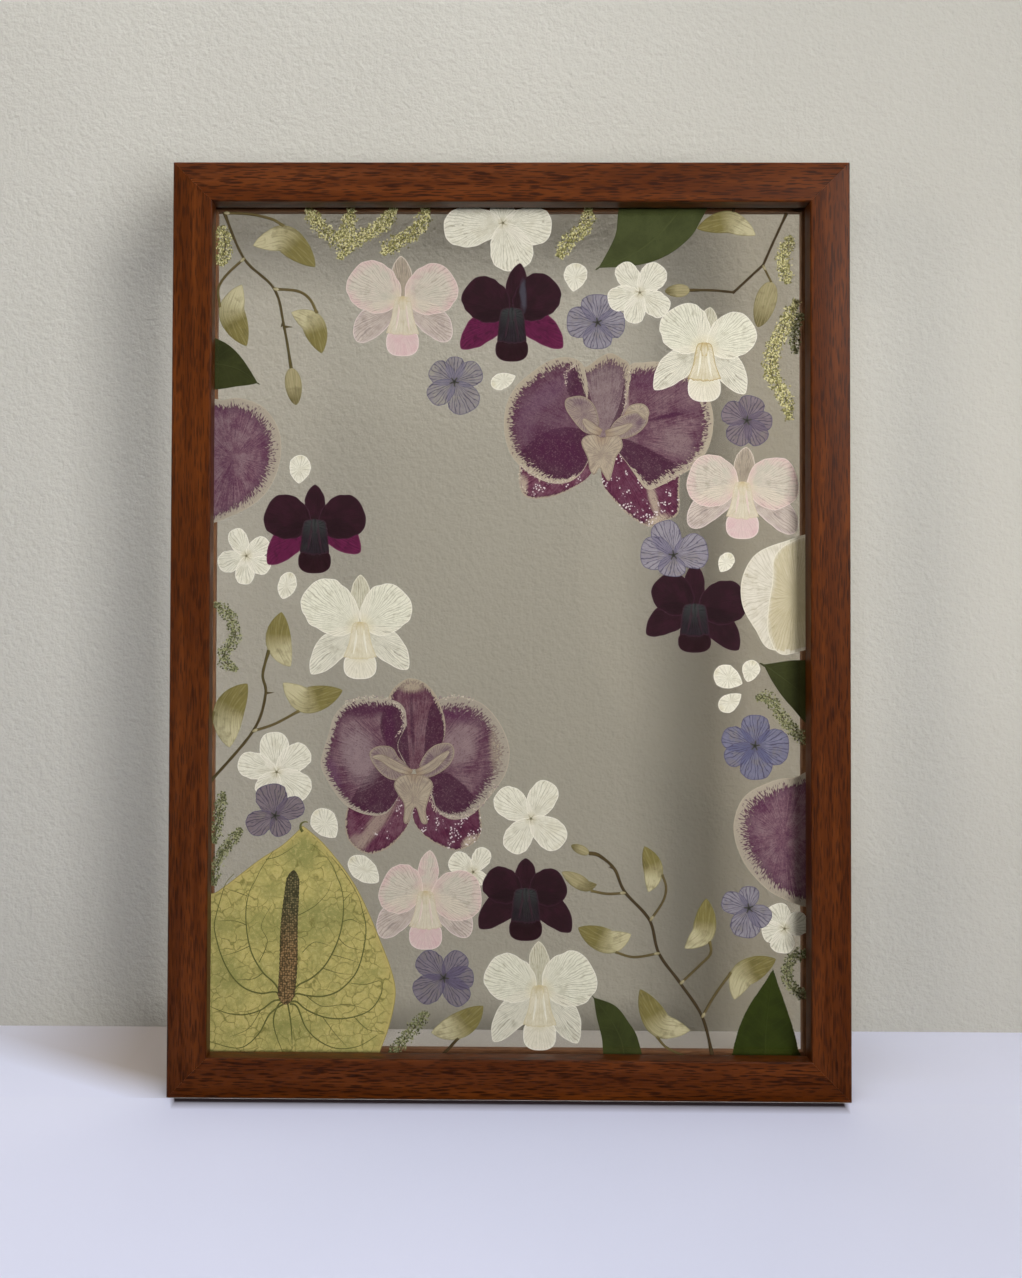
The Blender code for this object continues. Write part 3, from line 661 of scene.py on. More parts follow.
@dataclass(frozen=True)
class Reading:
    """The sockets that a finish reads: rim, reach and third value of the growth, the grain, and the place."""

    rim: Socket
    reach: Socket
    third: Socket
    grain: Socket
    place: Socket

    @classmethod
    def of(cls, tree: Tree) -> "Reading":
        """Adds the nodes that read a piece. The place is in mm on Object coordinates.

        Args:
            tree: the material's tree.

        Returns:
            What the finish reads.
        """
        growth = add(tree, "Attribute", attribute_name="growth")
        parts = add(tree, "SeparateXYZ", {0: growth.outputs["Vector"]})
        grain = add(tree, "UVMap", uv_map="grain")
        where = add(tree, "TexCoord")
        place = add(tree, "VectorMath", {0: where.outputs["Object"], "Scale": 1 / MM}, operation="SCALE")
        return cls(*parts.outputs, grain.outputs[0], place.outputs[0])

    def noise(self, tree: Tree, sizes: tuple[float, ...], along_grain: bool = True, detail: float = 2.0,
              rough: float = 0.5, shift: float = 0.0) -> Socket:
        """A cloudy pattern from 0 to 1.

        Args:
            tree: the material's tree.
            sizes: sizes of its lumps, mm.
            along_grain: True to lay it along the grain, False on the place.
            detail: how many finer octaves it has.
            rough: how strong those are.
            shift: moves it, so that two patterns of one finish differ.

        Returns:
            The pattern.
        """
        scale = tuple(1 / size for size in sizes) + (1.0,) * (3 - len(sizes))
        source = self.grain if along_grain else self.place
        mapped = add(tree, "Mapping", {"Vector": source, "Location": (shift, shift, shift), "Scale": scale})
        made = add(tree, "TexNoise", {"Vector": mapped, "Scale": 1.0, "Detail": detail, "Roughness": rough})
        return made.outputs[0]

    def lumps(self, tree: Tree, size: float, **rest: float) -> Socket:
        """The same pattern on the place, with lumps of one size each way."""
        return self.noise(tree, (size,) * 3, along_grain=False, **rest)

    def rays(self, tree: Tree, spacing: float, wander: float) -> Socket:
        """Distance in mm from the nearest of the lines that run out from the root. They are as far apart at the
        rim as the spacing, and closer nearer the root, by the share of the way that the place lies out.

        Args:
            tree: the material's tree.
            spacing: distance between lines at the rim, mm.
            wander: how far a line is pulled sideways, mm.

        Returns:
            The distance.
        """
        round_rim = add(tree, "SeparateXYZ", {0: self.grain}).outputs[0]
        bend = self.noise(tree, (5.0, 9.0))
        moved = add(tree, "Math", {0: bend, 1: wander, 2: round_rim}, operation="MULTIPLY_ADD")
        line = add(tree, "Math", {0: moved, 1: spacing / 2}, operation="PINGPONG")
        whole = add(tree, "Math", {0: self.reach, 1: self.rim}, operation="ADD")
        share = add(tree, "Math", {0: self.reach, 1: whole}, operation="DIVIDE")
        return add(tree, "Math", {0: line, 1: share}, operation="MULTIPLY").outputs[0]


@dataclass(frozen=True)
class Finish:
    """A finish that is made once as a material.

    Attributes:
        name: what the real surface is and how it was made.
        roughness: of its gloss.
        ior: of its outer skin.
        sheen: how much a fine nap lightens it at its edges.
        relief_mm: height of its fine relief.
    """

    name: str
    roughness: float = 0.7
    ior: float = 1.45
    sheen: float = 0.0
    relief_mm: float = 0.05

    @classmethod
    def toned(cls, name: str, tones: str, **rest: object) -> "Finish":
        """A finish by its tones.

        Args:
            name: what the real surface is and how it was made.
            tones: hex values in the order in which the class lists its colours. A dash, or an end to the list,
                leaves a colour at its default.
            rest: other values by name.

        Returns:
            The finish.
        """
        colours = [entry.name for entry in fields(cls) if entry.type is str and entry.name != "name"]
        given = {colour: tone for colour, tone in zip(colours, tones.split()) if tone != "-"}
        return cls(name, **given, **rest)

    def surface(self, tree: Tree, read: Reading) -> Look:
        """Adds the nodes of its pattern.

        Args:
            tree: the material's tree.
            read: what it reads.

        Returns:
            Its colour, and its relief from 0 to 1 or None.
        """
        raise NotImplementedError

    def material(self) -> bpy.types.Material:
        """The material, made at the first call.

        Returns:
            The material.
        """
        known = bpy.data.materials.get(self.name)
        if known:
            return known
        material = bpy.data.materials.new(self.name)
        material.use_nodes = True
        tree = material.node_tree
        shader = tree.nodes["Principled BSDF"]
        colour, relief = self.surface(tree, Reading.of(tree))
        tree.links.new(colour, shader.inputs["Base Color"])
        for socket, value in (("Roughness", self.roughness), ("IOR", self.ior), ("Sheen Weight", self.sheen)):
            shader.inputs[socket].default_value = value
        if relief is not None:
            bump = add(tree, "Bump", {"Distance": self.relief_mm * MM, "Height": relief})
            tree.links.new(bump.outputs[0], shader.inputs["Normal"])
        return material


@dataclass(frozen=True)
class PetalSkin(Finish):
    """A dried petal pressed flat: papery and thin, so that it is greyer where it lets more of the wall through
    and stronger over another petal, with fine veins that run out from its root.

    Attributes:
        ground: its colour.
        cloud: a second tone in patches.
        film: its tone where it is thinnest.
        vein: colour of the veins.
        edge: the tint towards its rim.
        rim: the thin line of the rim itself.
        heart: colour next to its root.
        under: colour where it lies over another petal.
        edge_mm: how far in the edge's tint reaches.
        heart_mm: how far from the root its heart's colour reaches.
        vein_mm: distance between veins at the rim.
        vein_wide: half the width over which a vein fades, mm.
        vein_strength: how strong the veins are, from 0 to 1.
        film_strength: how thin it gets, from 0 to 1.
        marks: blushes at set places.
    """

    ground: str = "e4e2d3"
    cloud: str = "d9d7c8"
    film: str = "c1beae"
    vein: str = "b5b29f"
    edge: str = "ecebdf"
    rim: str = "f1f0e6"
    heart: str = "e2dabd"
    under: str = "eeece0"
    edge_mm: float = 2.0
    heart_mm: float = 6.0
    vein_mm: float = 2.2
    vein_wide: float = 0.3
    vein_strength: float = 0.6
    film_strength: float = 0.5
    marks: tuple[Mark, ...] = ()

    def surface(self, tree: Tree, read: Reading) -> Look:
        """Cloudy ground, thin patches, the tone of a layer below, edge and heart, then the veins and the rim.

        Args:
            tree: the material's tree.
            read: what it reads.

        Returns:
            Its colour and its relief.
        """
        clouds = read.lumps(tree, 5.0, detail=4, rough=0.65)
        fibre = read.noise(tree, (0.9, 6.0), shift=5)
        veins = read.rays(tree, self.vein_mm, 2.6 * self.vein_mm)
        spread = add(tree, "Math", {0: clouds, 1: self.edge_mm * 3.0, 2: read.rim}, operation="MULTIPLY_ADD")
        return paint(tree, self.ground, [
            Coat(clouds, 0.46, 0.64, self.cloud, 0.8),
            Coat(clouds, 0.50, 0.34, self.film, self.film_strength),
            Coat(read.third, 0.15, 0.85, self.under, 0.7),
            Coat(spread, self.edge_mm * 2.7, self.edge_mm * 1.3, self.edge, 0.8),
            Coat(fibre, 0.50, 0.76, self.vein, 0.55 * self.vein_strength),
            Coat(fibre, 0.50, 0.26, self.rim, 0.5 * self.vein_strength),
            Coat(read.reach, self.heart_mm, 0.5, self.heart, 0.85),
            Coat(veins, self.vein_wide, 0.25 * self.vein_wide, self.vein, self.vein_strength),
            *[mark.coat(tree, read.place, clouds) for mark in self.marks],
            Coat(read.rim, 0.5, 0.15, self.rim, 0.8),
        ]), fibre


@dataclass(frozen=True)
class FringedSkin(Finish):
    """A moth orchid's tepal, pressed: purple streaks run out to a cream margin that they break up into dashes.

    Attributes:
        ground: its purple.
        pale: the streaks between.
        band: the stronger purple inside the margin.
        margin: the cream margin.
        dash: the dark specks where it begins.
        rim: the thin line of the rim itself.
        under: where it lies over another tepal.
        margin_mm: width of the margin far from the root.
        speck: share of the surface that keeps white specks of dust, 0 for none.
        marks: blushes at set places.
    """

    ground: str = "664656"
    pale: str = "8b757c"
    band: str = "4a2140"
    margin: str = "b3aa97"
    dash: str = "4f2c44"
    rim: str = "c0b7a6"
    under: str = "3b1330"
    margin_mm: float = 4.0
    speck: float = 0.0
    marks: tuple[Mark, ...] = ()

    def surface(self, tree: Tree, read: Reading) -> Look:
        """Mottles and streaks, a strong band, the layer below and the blushes, then the margin. Its width grows
        with the distance from the root, and specks of purple less than a millimetre wide break into it.

        Args:
            tree: the material's tree.
            read: what it reads.

        Returns:
            Its colour and its relief.
        """
        streaks = read.noise(tree, (0.9, 10.0), detail=3, rough=0.7)
        patches = read.lumps(tree, 6.0, detail=4, rough=0.7, shift=3)
        grit = read.lumps(tree, 0.7, rough=0.7, shift=17)
        wide = add(tree, "MapRange", {0: read.reach, 1: 20.0, 2: 36.0, 3: 0.08 * self.margin_mm, 4: self.margin_mm})
        share = add(tree, "Math", {0: read.rim, 1: wide}, operation="DIVIDE")
        stipple = read.noise(tree, (0.8, 2.0), detail=1, shift=9)
        torn = add(tree, "Math", {0: stipple, 1: 4.2, 2: share}, operation="MULTIPLY_ADD")
        coats = [
            Coat(patches, 0.46, 0.62, self.pale, 0.65),
            Coat(streaks, 0.53, 0.34, self.pale, 0.6),
            Coat(streaks, 0.50, 0.66, self.band, 0.7),
            Coat(patches, 0.46, 0.34, self.band, 0.55),
            Coat(share, 3.4, 1.5, self.band, 0.6),
            Coat(read.third, 0.2, 0.9, self.under, 0.8),
            *[mark.coat(tree, read.place, streaks) for mark in self.marks],
            Coat(grit, 0.54, 0.70, self.pale, 0.45),
            Coat(grit, 0.46, 0.30, self.band, 0.55),
            Coat(torn, 3.9, 3.3, self.dash, 0.7),
            Coat(torn, 3.5, 2.9, self.margin, 0.85),
            Coat(share, 0.14, 0.04, self.rim, 0.5),
        ]
        if self.speck:
            cells = add(tree, "TexVoronoi", {"Vector": read.place, "Scale": 0.8})
            dusty = read.lumps(tree, 5.0, shift=13)
            close = add(tree, "MapRange", {0: cells.outputs["Distance"], 1: 0.42, 2: 0.25})
            where = add(tree, "MapRange", {0: dusty, 1: 0.66 - self.speck, 2: 0.72 - self.speck})
            dust = add(tree, "Math", {0: close, 1: where}, operation="MULTIPLY")
            coats.append(Coat(dust, 0.2, 0.8, "e2dbe0", 0.9))
        return paint(tree, self.ground, coats), streaks


@dataclass(frozen=True)
class SpatheSkin(Finish):
    """An anthurium's spathe, pressed: waxy skin gone olive yellow, greener beside the midline, browner at its
    rim, with a net of small dark veins.

    Attributes:
        ground: olive yellow.
        green: the patches beside the midline.
        rim: the browner rim.
        net: the small veins.
        marks: blushes at set places.
    """

    ground: str = "c3b876"
    green: str = "909257"
    rim: str = "bdae70"
    net: str = "77763f"
    marks: tuple[Mark, ...] = ()

    def surface(self, tree: Tree, read: Reading) -> Look:
        """Patches, blotches and rim, then a net: the edges between cells about 6 mm wide, pulled about by noise.

        Args:
            tree: the material's tree.
            read: what it reads.

        Returns:
            Its colour and its relief.
        """
        patches = read.lumps(tree, 9.0, detail=4, rough=0.65)
        blotches = read.lumps(tree, 1.8, detail=4, rough=0.7, shift=2)
        nudge = add(tree, "TexNoise", {"Vector": read.place, "Scale": 0.16, "Detail": 2.0})
        pull = {0: nudge.outputs["Color"], 1: (6.0, 6.0, 6.0), 2: read.place}
        pulled = add(tree, "VectorMath", pull, operation="MULTIPLY_ADD")
        cells = add(tree, "TexVoronoi", {"Vector": pulled, "Scale": 0.17}, feature="DISTANCE_TO_EDGE")
        seen = add(tree, "MapRange", {0: patches, 1: 0.62, 2: 0.42, 3: 0.35})
        line = add(tree, "MapRange", {0: cells.outputs["Distance"], 1: 0.07, 2: 0.0})
        net = add(tree, "Math", {0: line, 1: seen}, operation="MULTIPLY")
        colour = paint(tree, self.ground, [
            Coat(patches, 0.46, 0.64, self.green, 0.6),
            *[mark.coat(tree, read.place, patches) for mark in self.marks],
            Coat(blotches, 0.50, 0.68, self.green, 0.6),
            Coat(blotches, 0.48, 0.34, "c9bf85", 0.6),
            Coat(read.rim, 5.0, 0.5, self.rim, 0.7),
            Coat(net, 0.1, 0.9, self.net, 0.85),
            Coat(read.rim, 1.3, 0.7, "c6b878", 0.7),
            Coat(read.rim, 0.5, 0.2, "8a8048", 0.8),
        ])
        return colour, blotches


@dataclass(frozen=True)
class StreakedSkin(Finish):
    """A leathery skin with fibres along it: a bud, a stem, a leaf or the midrib of one.

    Attributes:
        ground: colour at its root.
        tip: colour at its tip.
        streak: the darker fibres.
        shine: the paler fibres.
        edge: colour of its rim.
        tip_from: share of its length where the tip's colour begins.
        fibre_mm: distance between fibres.
    """

    ground: str = "b3ad6e"
    tip: str = "77733d"
    streak: str = "6c6a38"
    shine: str = "c4bf86"
    edge: str = "6f6c3a"
    tip_from: float = 0.4
    fibre_mm: float = 0.8

    def surface(self, tree: Tree, read: Reading) -> Look:
        """From root to tip, then patches, pale and dark fibres, and the rim.

        Args:
            tree: the material's tree.
            read: what it reads.

        Returns:
            Its colour and its relief.
        """
        fibres = read.noise(tree, (self.fibre_mm, 14.0), detail=4, rough=0.6)
        patches = read.lumps(tree, 3.5, detail=3, shift=4)
        colour = paint(tree, self.ground, [
            Coat(read.third, self.tip_from, min(1.0, self.tip_from + 0.35), self.tip, 0.9),
            Coat(patches, 0.52, 0.70, self.streak, 0.45),
            Coat(fibres, 0.52, 0.74, self.streak, 0.75),
            Coat(fibres, 0.48, 0.28, self.shine, 0.55),
            Coat(read.rim, 0.55, 0.0, self.edge, 0.6),
        ])
        return colour, fibres


@dataclass(frozen=True)
class LeafSkin(Finish):
    """A dried leaf: dull green skin, darker in patches, with side veins that leave the midrib at a slant.

    Attributes:
        ground: its green.
        dark: the patches.
        vein: the side veins.
        slant: how far along a vein runs for each mm across.
        vein_mm: distance between side veins.
    """

    ground: str = "3c4a28"
    dark: str = "2b371f"
    vein: str = "55623a"
    slant: float = 0.8
    vein_mm: float = 4.5

    def surface(self, tree: Tree, read: Reading) -> Look:
        """Patches and grit, then side veins: bands of (along - slant times the distance across).

        Args:
            tree: the material's tree.
            read: what it reads.

        Returns:
            Its colour and its relief.
        """
        patches = read.lumps(tree, 8.0, detail=4)
        grit = read.lumps(tree, 0.7, detail=3, shift=5)
        across, along, _ = add(tree, "SeparateXYZ", {0: read.grain}).outputs
        off = add(tree, "Math", {0: across}, operation="ABSOLUTE")
        slanted = add(tree, "Math", {0: off, 1: -self.slant, 2: along}, operation="MULTIPLY_ADD")
        bent = add(tree, "Math", {0: patches, 1: 4.0, 2: slanted}, operation="MULTIPLY_ADD")
        bands = add(tree, "Math", {0: bent, 1: self.vein_mm / 2}, operation="PINGPONG")
        colour = paint(tree, self.ground, [
            Coat(patches, 0.42, 0.66, self.dark, 0.8),
            Coat(grit, 0.52, 0.72, self.dark, 0.6),
            Coat(bands, 0.28, 0.0, self.vein, 0.5),
            Coat(read.rim, 0.45, 0.0, self.vein, 0.5),
        ])
        return colour, grit


@dataclass(frozen=True)
class GranularSkin(Finish):
    """Tiny dried bracts: each grain keeps its own tone between a dark and a pale one.

    Attributes:
        dark: the darkest grains.
        ground: the usual ones.
        pale: the palest.
    """

    dark: str = "5f5f3a"
    ground: str = "94915c"
    pale: str = "e0dcaa"

    def surface(self, tree: Tree, read: Reading) -> Look:
        """Tone by the grain's own value, and a speckle.

        Args:
            tree: the material's tree.
            read: what it reads.

        Returns:
            Its colour and its relief.
        """
        speckle = read.lumps(tree, 0.35)
        colour = paint(tree, self.ground, [
            Coat(read.third, 0.38, 0.2, self.dark, 0.9),
            Coat(read.third, 0.55, 0.8, self.pale, 0.95),
            Coat(speckle, 0.6, 0.8, self.dark, 0.25),
        ])
        return colour, speckle


@dataclass(frozen=True)
class SpadixSkin(Finish):
    """A spadix, pressed: a mosaic of tiny flowers, dark green above and brown towards its base."""

    def surface(self, tree: Tree, read: Reading) -> Look:
        """Brown to green along it, with a pale dot in each cell, about 1 mm across, and dark cell edges.

        Args:
            tree: the material's tree.
            read: what it reads.

        Returns:
            Its colour and its relief.
        """
        cells = add(tree, "TexVoronoi", {"Vector": read.place, "Scale": 0.9, "Randomness": 0.55})
        dots = cells.outputs["Distance"]
        mottle = read.lumps(tree, 2.5)
        colour = paint(tree, "8c7150", [
            Coat(mottle, 0.5, 0.7, "6f5a3c", 0.7),
            Coat(read.third, 0.40, 0.72, "54553e", 0.95),
            Coat(dots, 0.36, 0.12, "bfa67c", 0.6),
            Coat(dots, 0.42, 0.60, "33301f", 0.85),
            Coat(read.rim, 0.9, 0.1, "3f3c29", 0.6),
        ])
        return colour, dots


@dataclass(frozen=True)
class StainedWood(Finish):
    """Mahogany under a red-brown stain and a satin lacquer. Its open pores stay as dark dashes along the grain.
    They are drawn up to 0.7 mm wide, about twice the real width, so that they show.

    Attributes:
        ground: the stained wood.
        dark: the dark bands.
        light: the pale fibres.
        pore: the open pores.
        pore_strength: how dark they are, from 0 to 1.
    """

    ground: str = "4e2405"
    dark: str = "3c1802"
    light: str = "602f0a"
    pore: str = "1e0b05"
    pore_strength: float = 0.8

    def surface(self, tree: Tree, read: Reading) -> Look:
        """Bands 6 mm wide, fibres 0.45 mm wide, and dashes in cells 1.25 mm wide and stretched along the grain.

        Args:
            tree: the material's tree.
            read: what it reads.

        Returns:
            Its colour and its relief.
        """
        bands = read.noise(tree, (90.0, 6.0), detail=3)
        fibres = read.noise(tree, (16.0, 0.45), detail=5, rough=0.65, shift=3)
        colour = paint(tree, self.ground, [
            Coat(bands, 0.42, 0.62, self.dark, 0.6),
            Coat(bands, 0.50, 0.32, self.light, 0.6),
            Coat(fibres, 0.50, 0.68, self.dark, 0.75),
            Coat(fibres, 0.50, 0.30, self.light, 0.55),
        ])
        dense = read.noise(tree, (30.0, 4.0), detail=1, shift=8)
        for shift, length in ((0.0, 17.0), (31.0, 11.0)):
            stretch = {"Vector": read.grain, "Location": (shift, shift, 0), "Scale": (1 / length, 1 / 1.25, 1)}
            mapped = add(tree, "Mapping", stretch)
            cells = add(tree, "TexVoronoi", {"Vector": mapped, "Scale": 1.0}, voronoi_dimensions="2D")
            wide = add(tree, "MapRange", {0: dense, 1: 0.35, 2: 0.65, 3: 0.14, 4: 0.28})
            gap = add(tree, "Math", {0: cells.outputs["Distance"], 1: wide}, operation="SUBTRACT")
            colour = paint(tree, colour, [Coat(gap, 0.05, -0.05, self.pore, self.pore_strength)])
        return colour, fibres


@dataclass(frozen=True)
class FloatGlass(Finish):
    """Polished float glass: clear, a trace warm against the wall, and sharp in its reflections.

    Attributes:
        tint: what it lets through of white light.
    """

    tint: str = "f8f6f2"

    def material(self) -> bpy.types.Material:
        """The material, made at the first call, with its values on the shader itself.

        Returns:
            The material.
        """
        known = bpy.data.materials.get(self.name)
        if known:
            return known
        material = bpy.data.materials.new(self.name)
        material.use_nodes = True
        shader = material.node_tree.nodes["Principled BSDF"]
        shader.inputs["Base Color"].default_value = linear(self.tint)
        for socket, value in (("Roughness", self.roughness), ("IOR", self.ior), ("Transmission Weight", 1.0)):
            shader.inputs[socket].default_value = value
        return material


@dataclass(frozen=True)
class Plaster(Finish):
    """A painted wall or table top, pale and matt, with the fine orange peel of a roller.

    Attributes:
        ground: its paint.
        cloud: a second tone in slow clouds.
        lump_mm: size of the peel's lumps.
    """

    ground: str = "c9c7c1"
    cloud: str = "c3c1ba"
    lump_mm: float = 2.2

    def surface(self, tree: Tree, read: Reading) -> Look:
        """A slow change of tone, and the peel as relief.

        Args:
            tree: the material's tree.
            read: what it reads.

        Returns:
            Its colour and its relief.
        """
        clouds = read.lumps(tree, 260.0)
        peel = read.lumps(tree, self.lump_mm, detail=3, rough=0.55)
        return paint(tree, self.ground, [Coat(clouds, 0.35, 0.65, self.cloud)]), peel

    def one_sided(self) -> bpy.types.Material:
        """The material, clear when it is seen from its rear.

        Returns:
            The material.
        """
        material = self.material()
        tree = material.node_tree
        clear = add(tree, "BsdfTransparent")
        rear = add(tree, "NewGeometry").outputs["Backfacing"]
        mixed = add(tree, "MixShader", {0: rear, 1: tree.nodes["Principled BSDF"], 2: clear})
        tree.links.new(mixed.outputs[0], tree.nodes["Material Output"].inputs[0])
        return material


@dataclass(frozen=True)
class TableTop(Plaster):
    """A painted table top with a painted contact shadow: a near-black painted shadow line along the frame's foot, and
    a softer painted shade before it.

    Attributes:
        gap: colour of the painted shadow line along the frame's foot.
        shade: colour of the painted shade.
        foot_shadow_mm: how far the painted shadow line shows before the frame's front.
        shade_mm: how far the painted shade reaches from there.
    """

    # Painted contact shadow: gap is a near-black painted shadow line, and shade is a softer painted shade.
    gap: str = "1c1417"
    shade: str = "8d8c96"
    foot_shadow_mm: float = 4.0
    shade_mm: float = 9.0

    def surface(self, tree: Tree, read: Reading) -> Look:
        """The paint, then the painted shade and the painted shadow line by the distance before the frame, between the
        frame's sides.

        Args:
            tree: the material's tree.
            read: what it reads.

        Returns:
            Its colour and its relief.
        """
        colour, relief = super().surface(tree, read)
        across, along, _ = add(tree, "SeparateXYZ", {0: read.place}).outputs
        front, side = CAD_BOX[0].y / MM, CAD_BOX[1].x / MM
        apart = add(tree, "Math", {0: across}, operation="ABSOLUTE")
        beside = add(tree, "MapRange", {0: apart, 1: side - 5.0, 2: side - 0.5, 4: 16.0})
        before = add(tree, "Math", {0: along, 1: beside}, operation="SUBTRACT")
        edge = front - self.foot_shadow_mm
        # Painted shade, then the near-black painted shadow line along the frame's foot.
        return paint(tree, colour, [
            Coat(before, edge - self.shade_mm, edge - 1.0, self.shade, 0.92),
            Coat(before, edge - 1.5, edge + 0.5, self.gap, 0.97),
        ]), relief


@dataclass(frozen=True)
class TableBehind(Plaster):
    """The table top behind the frame, with painted shade: a warmer painted tone where it is seen through the glass,
    for the shade there, and a painted shadow to the left of the frame, where the frame keeps the main light off it.

    Attributes:
        through: colour of the part that is seen through the glass, a painted warmer tone for the shade there.
        shade: colour of the painted shadow.
        slope: how far back the painted shadow's edge runs for each mm to the left.
    """

    through: str = "e6e4e2"
    shade: str = "a2978d"
    slope: float = 0.6

    def surface(self, tree: Tree, read: Reading) -> Look:
        """The paint; the painted shadow, which starts along a slanting line from the frame's front corner and fades
        with the distance to the left; and the painted tone of the part behind the glass.

        Args:
            tree: the material's tree.
            read: what it reads.

        Returns:
            Its colour and its relief.
        """
        colour, relief = super().surface(tree, read)
        across, along, _ = add(tree, "SeparateXYZ", {0: read.place}).outputs
        front, side = CAD_BOX[0].y / MM, CAD_BOX[1].x / MM
        beside = add(tree, "Math", {0: across, 1: side}, operation="ADD")
        past = add(tree, "Math", {0: beside, 1: self.slope, 2: along}, operation="MULTIPLY_ADD")
        soft = add(tree, "MapRange", {0: past, 1: front - 12.0, 2: front + 22.0})
        fade = add(tree, "MapRange", {0: beside, 1: -110.0, 2: -30.0, 3: 0.4})
        left = add(tree, "Math", {0: beside, 1: 0.0}, operation="LESS_THAN")
        deep = add(tree, "Math", {0: soft, 1: fade}, operation="MULTIPLY")
        dark = add(tree, "Math", {0: deep, 1: left}, operation="MULTIPLY")
        apart = add(tree, "Math", {0: across}, operation="ABSOLUTE")
        # Painted shadow of the frame to its left, then the painted warmer tone of the shade behind the glass.
        return paint(tree, colour, [
            Coat(dark, 0.0, 1.0, self.shade, 0.95),
            Coat(apart, side, side - 4.0, self.through),
        ]), relief


# The wood and glass
MAHOGANY = StainedWood("stained_mahogany_lacquered", roughness=0.42, ior=1.5, relief_mm=0.04)
# The stiles wear a copy of the rails' wood, a little darker and with fainter pores: the darker tone is painted shade.
SHADED_MAHOGANY_STILE = StainedWood.toned("stained_mahogany_lacquered_stiles", "4b2203 3a1702 5f2e08", roughness=0.42,
                                   ior=1.5, relief_mm=0.04, pore_strength=0.6)
BEAD_WOOD = StainedWood.toned("plain_mahogany_bead", "8a6349 6f4c37 9c7557 4a3023", roughness=0.6, ior=1.5,
                              pore_strength=0.4)
GLASS = FloatGlass("polished_float_glass", roughness=0.0, ior=1.52)

FINE_VEINS = {"relief_mm": 0.12, "vein_wide": 0.24}

# Dried dendrobium skins: (dorsal, petal, sepal, lip, tongue)
PINK = (
    PetalSkin.toned("dried_pink_dendrobium_dorsal", "a59b8e b2a798 8f867a 6e655b bcb0a4 e0d6cc b9af9c", edge_mm=1.6,
                    vein_mm=1.7, vein_wide=0.24),
    PetalSkin.toned("dried_pink_dendrobium_petal", "d6cfc5 c6c4b8 b5b0a4 8c837b dcbcc0 e6d8d4 dfd7bb dcd4c6",
                    edge_mm=3.8, heart_mm=8.0, vein_mm=1.9, vein_strength=0.44, film_strength=0.85, **FINE_VEINS),
    PetalSkin.toned("dried_pink_dendrobium_sepal", "c2b6b0 cdc3bb a69c94 6f666c cfc0c2 e4d9d7 d8d0bc d8cdc6",
                    edge_mm=1.4, heart_mm=8.0, vein_mm=1.7, vein_strength=0.5, film_strength=0.75, **FINE_VEINS),
    PetalSkin.toned("dried_pink_dendrobium_lip", "d5cfc0 dbd6c6 bfb49c bdb091 ddd4c2 c9bfa6 c7b58e cfc7ae",
                    edge_mm=1.2, heart_mm=3.5, vein_strength=0.4),
    PetalSkin.toned("dried_pink_dendrobium_tongue", "dac5c6 d5b7bc cdb9b7 c29fab e0d0cf e9dcda d3bcb4 d9bcc0",
                    edge_mm=1.3, heart_mm=4.0, vein_mm=1.8, vein_strength=0.3),
)
WHITE = (
    PetalSkin.toned("dried_white_dendrobium_dorsal", "d3d1bf c0bda9 adaa97 7c7966 d3d0be eae8da d6d1b5", edge_mm=1.3,
                    vein_mm=1.8, vein_wide=0.24),
    PetalSkin.toned("dried_white_dendrobium_petal", "eeefe2 dedfd0 c8c8b6 89866f ebe9dc f3f2e9 e4dcbb eeecdf",
                    edge_mm=1.8, heart_mm=8.0, vein_mm=1.9, vein_strength=0.52, film_strength=0.7, **FINE_VEINS),
    PetalSkin.toned("dried_white_dendrobium_sepal", "e3e3d7 e4e2d5 bdbaaa 6d6b5c e6e4d8 f1f0e7 dfd8bb eae7da",
                    edge_mm=1.0, heart_mm=7.0, vein_mm=1.7, vein_strength=0.55, film_strength=0.75, **FINE_VEINS),
    PetalSkin.toned("dried_white_dendrobium_lip", "ddd9c6 e4dfcd c8bd9c c3b998 d9d0b2 cfc6a4 c9b98c dcd6bf",
                    edge_mm=0.9, heart_mm=3.5, vein_strength=0.4),
    PetalSkin.toned("dried_white_dendrobium_tongue", "e9e6d9 dfdccd d2cfbe a9a58f eeece2 f3f2ea ded7b8 e9e6d9",
                    edge_mm=1.1, vein_mm=1.9, vein_strength=0.3),
)
GILT_LIP = PetalSkin.toned("dried_white_dendrobium_lip_gilt_edge",
                           "ddd9c6 e4dfcd c8bd9c b4a67f cbbb8a a8935a c2ae78 dcd6bf", edge_mm=0.9, heart_mm=3.5,
                           vein_strength=0.4)
GILT = (*WHITE[:3], GILT_LIP, WHITE[4])
PLUM_PETAL = PetalSkin.toned("dried_plum_dendrobium_petal", "28101c 351626 1f0c16 1a0812 301524 3d2131 22131a 1a0812",
                             roughness=0.5, sheen=0.15, edge_mm=1.2, vein_mm=1.5, vein_strength=0.5,
                             marks=(Mark((150.5, 369), (8.5, 1.6), 92, "4c4c5a", 0.7),))
PLUM_LIP = PetalSkin.toned("dried_plum_dendrobium_lip", "27202a 1f1c22 2c3230 131215 2d1a26 3d2533 3a4042 27262b",
                           roughness=0.45, edge_mm=0.8, heart_mm=9.0)
PLUM_TONGUE = PetalSkin.toned("dried_plum_dendrobium_tongue",
                              "230e17 2b141e 1b0b12 16080f 2f1823 422535 2b2227 281120", roughness=0.5, edge_mm=0.8,
                              vein_mm=1.6, vein_strength=0.5)
PLUM = (PLUM_PETAL, PLUM_PETAL, PLUM_PETAL, PLUM_LIP, PLUM_TONGUE)
